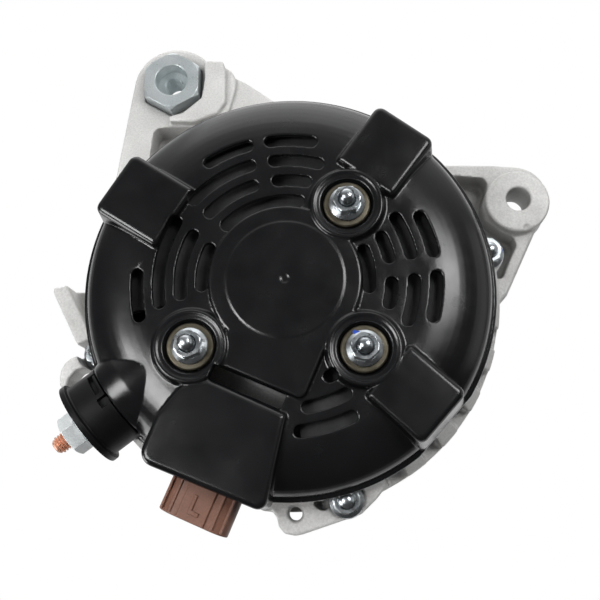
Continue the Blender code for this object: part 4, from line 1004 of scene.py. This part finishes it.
def make_stator():
    start, end = 24.2, 45.6
    sheets = 26
    pitch = (end - start) / sheets
    profile = [(49.9, start)]
    for k in range(sheets):
        at = start + pitch * k
        profile += [(66.2, at), (66.2, at + pitch * 0.72), (66.0, at + pitch * 0.8),
                    (66.0, at + pitch * 0.94)]
    profile += [(66.2, end), (49.9, end)]
    core = lathe("core", profile, 144)
    teeth = 24
    outline = []
    for k in range(teeth):
        for radius, side in ((50.5, -1.0), (59.5, -1.0), (59.5, 1.0), (50.5, 1.0)):
            outline.append(polar(radius, 360.0 * k / teeth + side * math.degrees(math.asin(2.0 / radius))))
    cut(core, extrude("bore", outline, start - 5.0, end + 5.0))
    piece(core, "laminated_core", "housing", CORE, ["stator_core"], merge=0.002, smooth=25.0)

    wires = []
    for k in range(72):
        near = 5.0 * k
        for s0, sense, s_top in ((24.0, -1.0, 14.9), (45.8, 1.0, 54.9)):
            path = []
            for j in range(15):
                share = j / 14.0
                lift = math.sin(math.pi * share) ** 0.6
                radius = 58.9 - 4.6 * (0.5 - 0.5 * math.cos(math.pi * share))
                turn = near + 22.5 * (share * share * (3.0 - 2.0 * share))
                x, z = polar(radius, turn)
                path.append((x, z, s0 + (s_top - s0) * lift + sense * 0.0))
            wires.append(tube("wire", path, 1.15, 7))
    for k in range(teeth):
        for radius in (54.4, 57.4):
            x, z = polar(radius, 360.0 * k / teeth)
            wires.append(tube("bar", [(x, z, 22.4), (x, z, 35.0), (x, z, 47.4)], 1.35, 8))
    piece(join(wires), "windings", "housing", WIRE, ["stator_winding"], merge=0.0,
          smooth=60.0)


# ---------------------------------------------------------------- rotor

def make_pole(name, node, back, front, tip, turn):
    sense = 1.0 if front > back else -1.0
    hub = [(9.2, back), (34.0, back), (34.0, front), (9.2, front)]
    pole = lathe("pole", soft(hub if sense > 0.0 else hub[::-1], 0.6), 120)
    for k in range(6):
        way = along_s(turn + 60.0 * k)
        arm = arc((0, 0), 49.8, -17.0, 17.0, 12) + [(30.0, 9.5), (30.0, -9.5)]
        add(pole, extrude("arm", arm, back, front, way, edge=0.6, both=True))
        root = arc((0, 0), 49.75, -17.0, 17.0, 12) + arc((0, 0), 41.6, 15.0, -15.0, 10)
        point = arc((0, 0), 49.75, -8.0, 8.0, 12) + arc((0, 0), 46.0, 7.0, -7.0, 10)
        add(pole, extrude("finger", root, (back + front) / 2.0, tip, way, point, edge=0.8))
    piece(pole, name, "rotor", POLE, [node], bevel=0.35)


def make_fan(name, node, disc, blade_end, inner, blades, turn):
    thick = 1.5 if blade_end > disc else -1.5
    ring = [(9.3, disc), (48.0, disc), (48.0, disc + thick), (9.3, disc + thick)]
    fan = lathe("fan", soft(ring, 0.3, 2), 120)
    for k in range(blades):
        way = along_s(turn + 360.0 * k / blades)
        front, back = [], []
        for j in range(9):
            share = j / 8.0
            u = inner + (47.0 - inner) * share
            w = -0.4 + 8.0 * share * share
            front.append((u, w - 0.7))
            back.append((u - 0.5 * share, w + 0.7))
        blade = extrude("blade", front + back[::-1], disc + thick * 0.5, blade_end, way, edge=0.35)
        add(fan, blade)
    for k in range(3):
        way = along_s(0.0, polar(15.5, 30.0 + 120.0 * k))
        low, high = sorted((disc - 1.0, disc + thick + 1.0)) if thick > 0 else sorted((disc + thick - 1.0,
                                                                                       disc + 1.0))
        cut(fan, lathe("pilot", [(0.0, low), (2.0, low), (2.0, high), (0.0, high)], 32, way))
    piece(fan, name, "rotor", PRESSED, [node], bevel=0.2)


def make_rotor():
    ridge = thread(7.55, 8.2, 98.6, SHAFT_END - 0.9, 1.3)
    shaft = [(0.0, -12.8), (3.8, -12.8), (4.2, -12.4), (4.2, 2.2), (6.9, 2.2), (7.2, 2.5), (7.2, 14.7),
             (7.5, 15.0),
             (8.6, 15.0), (8.9, 15.3), (8.9, 60.1), (8.6, 60.4), (8.2, 60.8), (8.2, 98.4)] + ridge
    shaft += [(7.2, SHAFT_END), (2.2, SHAFT_END), (0.6, SHAFT_END - 1.6), (0.0, SHAFT_END - 1.6)]
    piece(lathe("shaft", shaft, 96), "shaft", "rotor", STEEL, ["rotor_shaft"], smooth=40.0)
    make_pole("rear_claws", "rear_claw_pole", 20.0, 29.0, 49.0, 0.0)
    make_pole("front_claws", "front_claw_pole", 50.0, 41.0, 21.0, 30.0)
    turns = [(9.2, 29.4), (40.0, 29.4)]
    for k in range(11):
        at = 29.5 + k
        turns += [(40.2, at + 0.05), (40.75, at + 0.3), (40.75, at + 0.7), (40.2, at + 0.95)]
    turns += [(40.0, 40.6), (9.2, 40.6)]
    piece(lathe("coil", turns, 120), "rotor_coil", "rotor", WIRE, ["field_coil"],
          smooth=60.0)
    make_fan("rear_impeller", "rear_fan", 19.7, 10.6, 24.0, 9, 5.0)
    make_fan("front_impeller", "front_fan", 50.3, 58.0, 34.5, 9, 12.0)
    hub = [(4.5, -12.6), (7.0, -12.6), (7.0, -11.9), (5.7, -11.9), (5.7, -7.1), (7.0, -7.1), (7.0, -6.1),
           (5.7, -6.1),
           (5.7, -1.3), (7.0, -1.3), (7.0, 1.9), (4.5, 1.9)]
    piece(lathe("hub", soft(hub, 0.15, 2), 72), "ring_hub", "rotor", DARK, ["slip_ring_hub"])
    for k, s in enumerate((-11.6, -5.8)):
        ring = [(6.0, s), (7.4, s), (7.6, s + 0.2), (7.6, s + 1.6), (7.5, s + 1.8), (7.5, s + 2.4),
                (7.6, s + 2.6),
                (7.6, s + 4.0), (7.4, s + 4.2), (6.0, s + 4.2)]
        piece(lathe("ring", ring, 96), f"collector_ring_{k + 1}", "rotor", COPPER,
              [f"slip_ring_{k + 1}"])
    make_pulley()


def make_pulley():
    grooves, pitch = 6, 3.56
    back, front = 82.0, 108.0
    first = (back + front - grooves * pitch) / 2.0
    profile = [(8.6, 75.2), (11.6, 75.2), (12.0, 75.6), (12.0, back), (26.8, back), (27.6, back + 0.6),
               (27.6, first)]
    for k in range(grooves):
        start = first + pitch * k
        profile += [(27.6, start + 0.25), (25.05, start + pitch * 0.44), (25.05, start + pitch * 0.56),
                    (27.6, start + pitch - 0.25)]
    profile += [(27.6, front - 0.6), (26.9, front), (23.9, front), (23.4, front - 0.5), (22.0, 100.8),
                (21.2, 100.0),
                (14.4, 99.2), (14.0, 99.0), (8.6, 99.0)]
    piece(lathe("pulley", soft(profile, 0.12, 2), 144), "ribbed_pulley", "rotor", STEEL,
          ["pulley"])
    nut = hex_blank("nut", 13.8 * 2.0 * math.cos(math.radians(30.0)), 101.4, 110.0, along_s(), 15.0, 0.45,
                    False)
    flange = [(0.0, 99.3), (13.2, 99.3), (13.6, 99.7), (13.6, 101.2), (12.2, 102.4), (0.0, 102.4)]
    add(nut, lathe("flange", soft(flange, 0.2, 2), 96))
    cut(nut, lathe("bore", [(0.0, 97.0), (9.2, 98.8), (8.5, 99.9), (8.5, 109.4), (9.2, 110.6), (0.0, 112.0)],
                   72))
    piece(nut, "shaft_nut", "rotor", ZINC, ["pulley_nut"], bevel=0.2)


# ---------------------------------------------------------------- bearings

def make_race(name, node, body, face, shoulder, s0, s1, mid, groove):
    centre = (s0 + s1) / 2.0
    side = 1.0 if shoulder > face else -1.0
    half = math.degrees(math.acos(abs(mid - shoulder) / groove))
    profile = [(face, s0 + 0.4), (face + side * 0.4, s0), (shoulder, s0)]
    for k in range(13):
        turn = math.radians(-half + 2.0 * half * k / 12)
        profile.append((mid - side * groove * math.cos(turn), centre + groove * math.sin(turn)))
    profile += [(shoulder, s1), (face + side * 0.4, s1), (face, s1 - 0.4)]
    piece(lathe("race", profile, 96), name, body, STEEL, [node])


def make_rolling(name, node, body, count, mid, ball, centre, thick):
    ring = [(mid - 1.0, centre - thick), (mid + 1.0, centre - thick), (mid + 1.0, centre + thick),
            (mid - 1.0, centre + thick)]
    made = lathe("cage", soft(ring, 0.2, 2), 96)
    for k in range(count):
        half = []
        for j in range(13):
            turn = math.radians(15.0 * j)
            half.append((0.0 if j in (0, 12) else ball * math.sin(turn), centre - ball * math.cos(turn)))
        add(made, lathe("ball", half, 24, along_s(0.0, polar(mid, 360.0 * k / count))))
    piece(made, name, body, STEEL, [node], merge=0.004)


def make_bearings():
    make_race("front_inner_ring", "front_bearing_inner_race", "rotor", 8.5, 12.9, 60.9, 74.9, 16.15, 4.3)
    make_race("front_outer_ring", "front_bearing_outer_race", "housing", 23.5, 19.4, 60.9, 74.9, 16.15, 4.3)
    make_rolling("front_ball_set", "front_bearing_balls", "front_balls", 8, 16.15, 3.9, 67.9, 1.2)
    make_race("rear_inner_ring", "rear_bearing_inner_race", "rotor", 7.5, 9.9, 5.7, 14.7, 11.75, 2.75)
    make_race("rear_outer_ring", "rear_bearing_outer_race", "housing", 16.0, 13.6, 5.7, 14.7, 11.75, 2.75)
    make_rolling("rear_ball_set", "rear_bearing_balls", "rear_balls", 8, 11.75, 2.4, 10.2, 1.0)
    ring = [(18.5, 58.6), (31.0, 58.6), (31.0, 60.2), (18.5, 60.2)]
    plate = lathe("plate", soft(ring, 0.25, 2), 120)
    for k in range(3):
        way = along_s(0.0, polar(27.6, 90.0 + 120.0 * k))
        cut(plate, lathe("hole", [(0.0, 56.0), (2.1, 56.0), (2.1, 62.0), (0.0, 62.0)], 32, way))
    piece(plate, "retainer_plate", "housing", PRESSED, ["bearing_retainer"], bevel=0.15)
    for k in range(3):
        way = along_s(0.0, polar(27.6, 90.0 + 120.0 * k))
        head = [(0.0, 56.6), (2.4, 56.6), (3.1, 56.95), (3.4, 57.5), (3.4, 58.3), (1.8, 58.3), (1.8, 68.1),
                (1.4, 68.5),
                (0.0, 68.5)]
        screw = lathe("screw", head, 48, way)
        cut(screw, extrude("drive", circle((0, 0), 1.5, 6), 55.0, 57.9, way))
        piece(screw, f"retainer_bolt_{k + 1}", "housing", ZINC, [f"retainer_screw_{k + 1}"],
              bevel=0.08)


# ---------------------------------------------------------------- paint marks

def paint_mark(name, x, z, s, wide, long, turn):
    """A dab of paint lying on a face."""
    outline = []
    for k in range(28):
        around = 2.0 * math.pi * k / 28
        wobble = 1.0 + 0.16 * math.sin(3.0 * around + turn) + 0.09 * math.sin(7.0 * around)
        outline.append((0.5 * wide * wobble * math.cos(around), 0.5 * long * wobble * math.sin(around)))
    lean = math.radians(turn)
    spun = [(x + a * math.cos(lean) - b * math.sin(lean), z + a * math.sin(lean) + b * math.cos(lean)) for a,
            b in outline]
    dab = extrude("dab", spun, s + 0.06, s - 0.12, edge=0.08)
    return piece(dab, name, "housing", BLUE, merge=0.001)


# ---------------------------------------------------------------- everything

make_cover()
make_fasteners()
make_terminal()
make_socket()
make_regulator()
make_rectifier()
make_rear_frame()
make_front_frame()
make_stator()
make_rotor()
make_bearings()
mark_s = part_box("cover_nut_3")[1].y / MM + STATION - 0.9
paint_mark("paint_mark_1", COVER_STUDS[2][0] - 1.9, COVER_STUDS[2][1] + 4.3, mark_s, 2.0, 3.4, 60.0)
paint_mark("paint_mark_2", THROUGH_STUDS[0][0] + 4.7, THROUGH_STUDS[0][1] + 0.6, LUG_STARTS[0] - 1.1, 1.6,
           2.8, 20.0)


# ---------------------------------------------------------------- studio

FRONT_GLOW = 0.05
BACKDROP_GLOW = 0.9
ZENITH_GLOW = 0.75


def studio():
    """White to the eye, and a bright backdrop behind the object with a dark studio in front for the light."""
    world = bpy.data.worlds.new("studio")
    world.use_nodes = True
    nodes = world.node_tree.nodes
    links = world.node_tree.links
    white = nodes["Background"]
    white.inputs["Color"].default_value = (1.0, 1.0, 1.0, 1.0)
    lit = nodes.new("ShaderNodeBackground")
    lit.inputs["Color"].default_value = (1.0, 1.0, 1.0, 1.0)
    parts = nodes.new("ShaderNodeSeparateXYZ")
    links.new(nodes.new("ShaderNodeTexCoord").outputs["Generated"], parts.inputs["Vector"])
    depth = remap(nodes, links, parts.outputs["Y"], (0.28, 0.82), (FRONT_GLOW, BACKDROP_GLOW), True)
    zenith = remap(nodes, links, parts.outputs["Z"], (0.35, 1.0), (0.0, ZENITH_GLOW), True)
    total = nodes.new("ShaderNodeMath")
    links.new(depth, total.inputs[0])
    links.new(zenith, total.inputs[1])
    links.new(total.outputs["Value"], lit.inputs["Strength"])
    mix = nodes.new("ShaderNodeMixShader")
    links.new(nodes.new("ShaderNodeLightPath").outputs["Is Camera Ray"], mix.inputs["Fac"])
    links.new(lit.outputs["Background"], mix.inputs[1])
    links.new(white.outputs["Background"], mix.inputs[2])
    links.new(mix.outputs["Shader"], nodes["World Output"].inputs["Surface"])
    bpy.context.scene.world = world
    bpy.context.scene.view_settings.view_transform = "Standard"


def look_at(thing, target):
    thing.rotation_euler = (Vector(target) - thing.location).to_track_quat("-Z", "Y").to_euler()


def softbox(name, azimuth, elevation, distance, wide, high, radiance, glossy=True):
    """An area light that faces the object from a direction seen from its rear."""
    lamp = bpy.data.lights.new(name, "AREA")
    lamp.shape = "RECTANGLE"
    lamp.size = wide
    lamp.size_y = high
    lamp.energy = radiance * math.pi * wide * high
    made = bpy.data.objects.new(name, lamp)
    a, e = math.radians(azimuth), math.radians(elevation)
    made.location = Vector((math.sin(a) * math.cos(e), -math.cos(a) * math.cos(e), math.sin(e))) * distance
    look_at(made, (0.0, 0.0, 0.0))
    made.visible_glossy = glossy
    bpy.context.scene.collection.objects.link(made)
    return made


CAMERA_AZIMUTH = 3.01
CAMERA_ELEVATION = -13.05
CAMERA_DISTANCE = 0.27513
CAMERA_RIGHT = 0.00388
CAMERA_DOWN = 0.00294


def camera():
    azimuth, elevation = math.radians(CAMERA_AZIMUTH), math.radians(CAMERA_ELEVATION)
    back = Vector((math.sin(azimuth) * math.cos(elevation), -math.cos(azimuth) * math.cos(elevation),
                   math.sin(elevation)))
    right = Vector((math.cos(azimuth), math.sin(azimuth), 0.0))
    up = back.cross(right)
    rim = Vector((0.0, -STATION * MM, 0.0))
    data = bpy.data.cameras.new("camera")
    data.lens = 50.0
    data.sensor_width = 36.0
    data.clip_start = 0.01
    made = bpy.data.objects.new("camera", data)
    turned = Matrix((right, up, back)).transposed().to_4x4()
    turned.translation = rim + back * CAMERA_DISTANCE + right * CAMERA_RIGHT - up * CAMERA_DOWN
    made.matrix_world = turned
    bpy.context.scene.collection.objects.link(made)
    bpy.context.scene.camera = made


def floor():
    """A pale floor that stays out of the object's reflections."""
    slab = mesh_object("floor",
                       [(-2.0, -2.0, -0.25), (2.0, -2.0, -0.25), (2.0, 0.75, -0.25), (-2.0, 0.75, -0.25)],
                       [(0, 1, 2, 3)])
    pale = look("studio floor", (0.80, 0.80, 0.80), (0.83, 0.83, 0.83), (0.6, 0.7), 0.0, 200.0, 0.01, 8.0)
    shader = pale.node_tree.nodes["Principled BSDF"]
    shader.inputs["Emission Color"].default_value = (1.0, 1.0, 1.0, 1.0)
    shader.inputs["Emission Strength"].default_value = 0.55
    slab.data.materials.append(pale)
    slab.visible_glossy = False
    slab.visible_diffuse = False


studio()
camera()
floor()
softbox("right_light", 30.0, 14.0, 1.0, 0.42, 0.28, 9.0)
softbox("left_light", -35.0, -10.0, 1.0, 0.46, 0.34, 11.0)
softbox("low_left_light", -96.0, -28.0, 1.0, 0.60, 0.50, 5.0)
softbox("low_light", -8.0, -55.0, 1.0, 0.80, 0.50, 2.4, False)
softbox("side_light", 86.0, 8.0, 1.0, 0.55, 0.80, 0.5)
softbox("top_light", -10.0, 82.0, 1.0, 1.0, 0.90, 0.8)
softbox("fill_light", -38.0, 12.0, 1.2, 1.10, 1.00, 1.2, False)
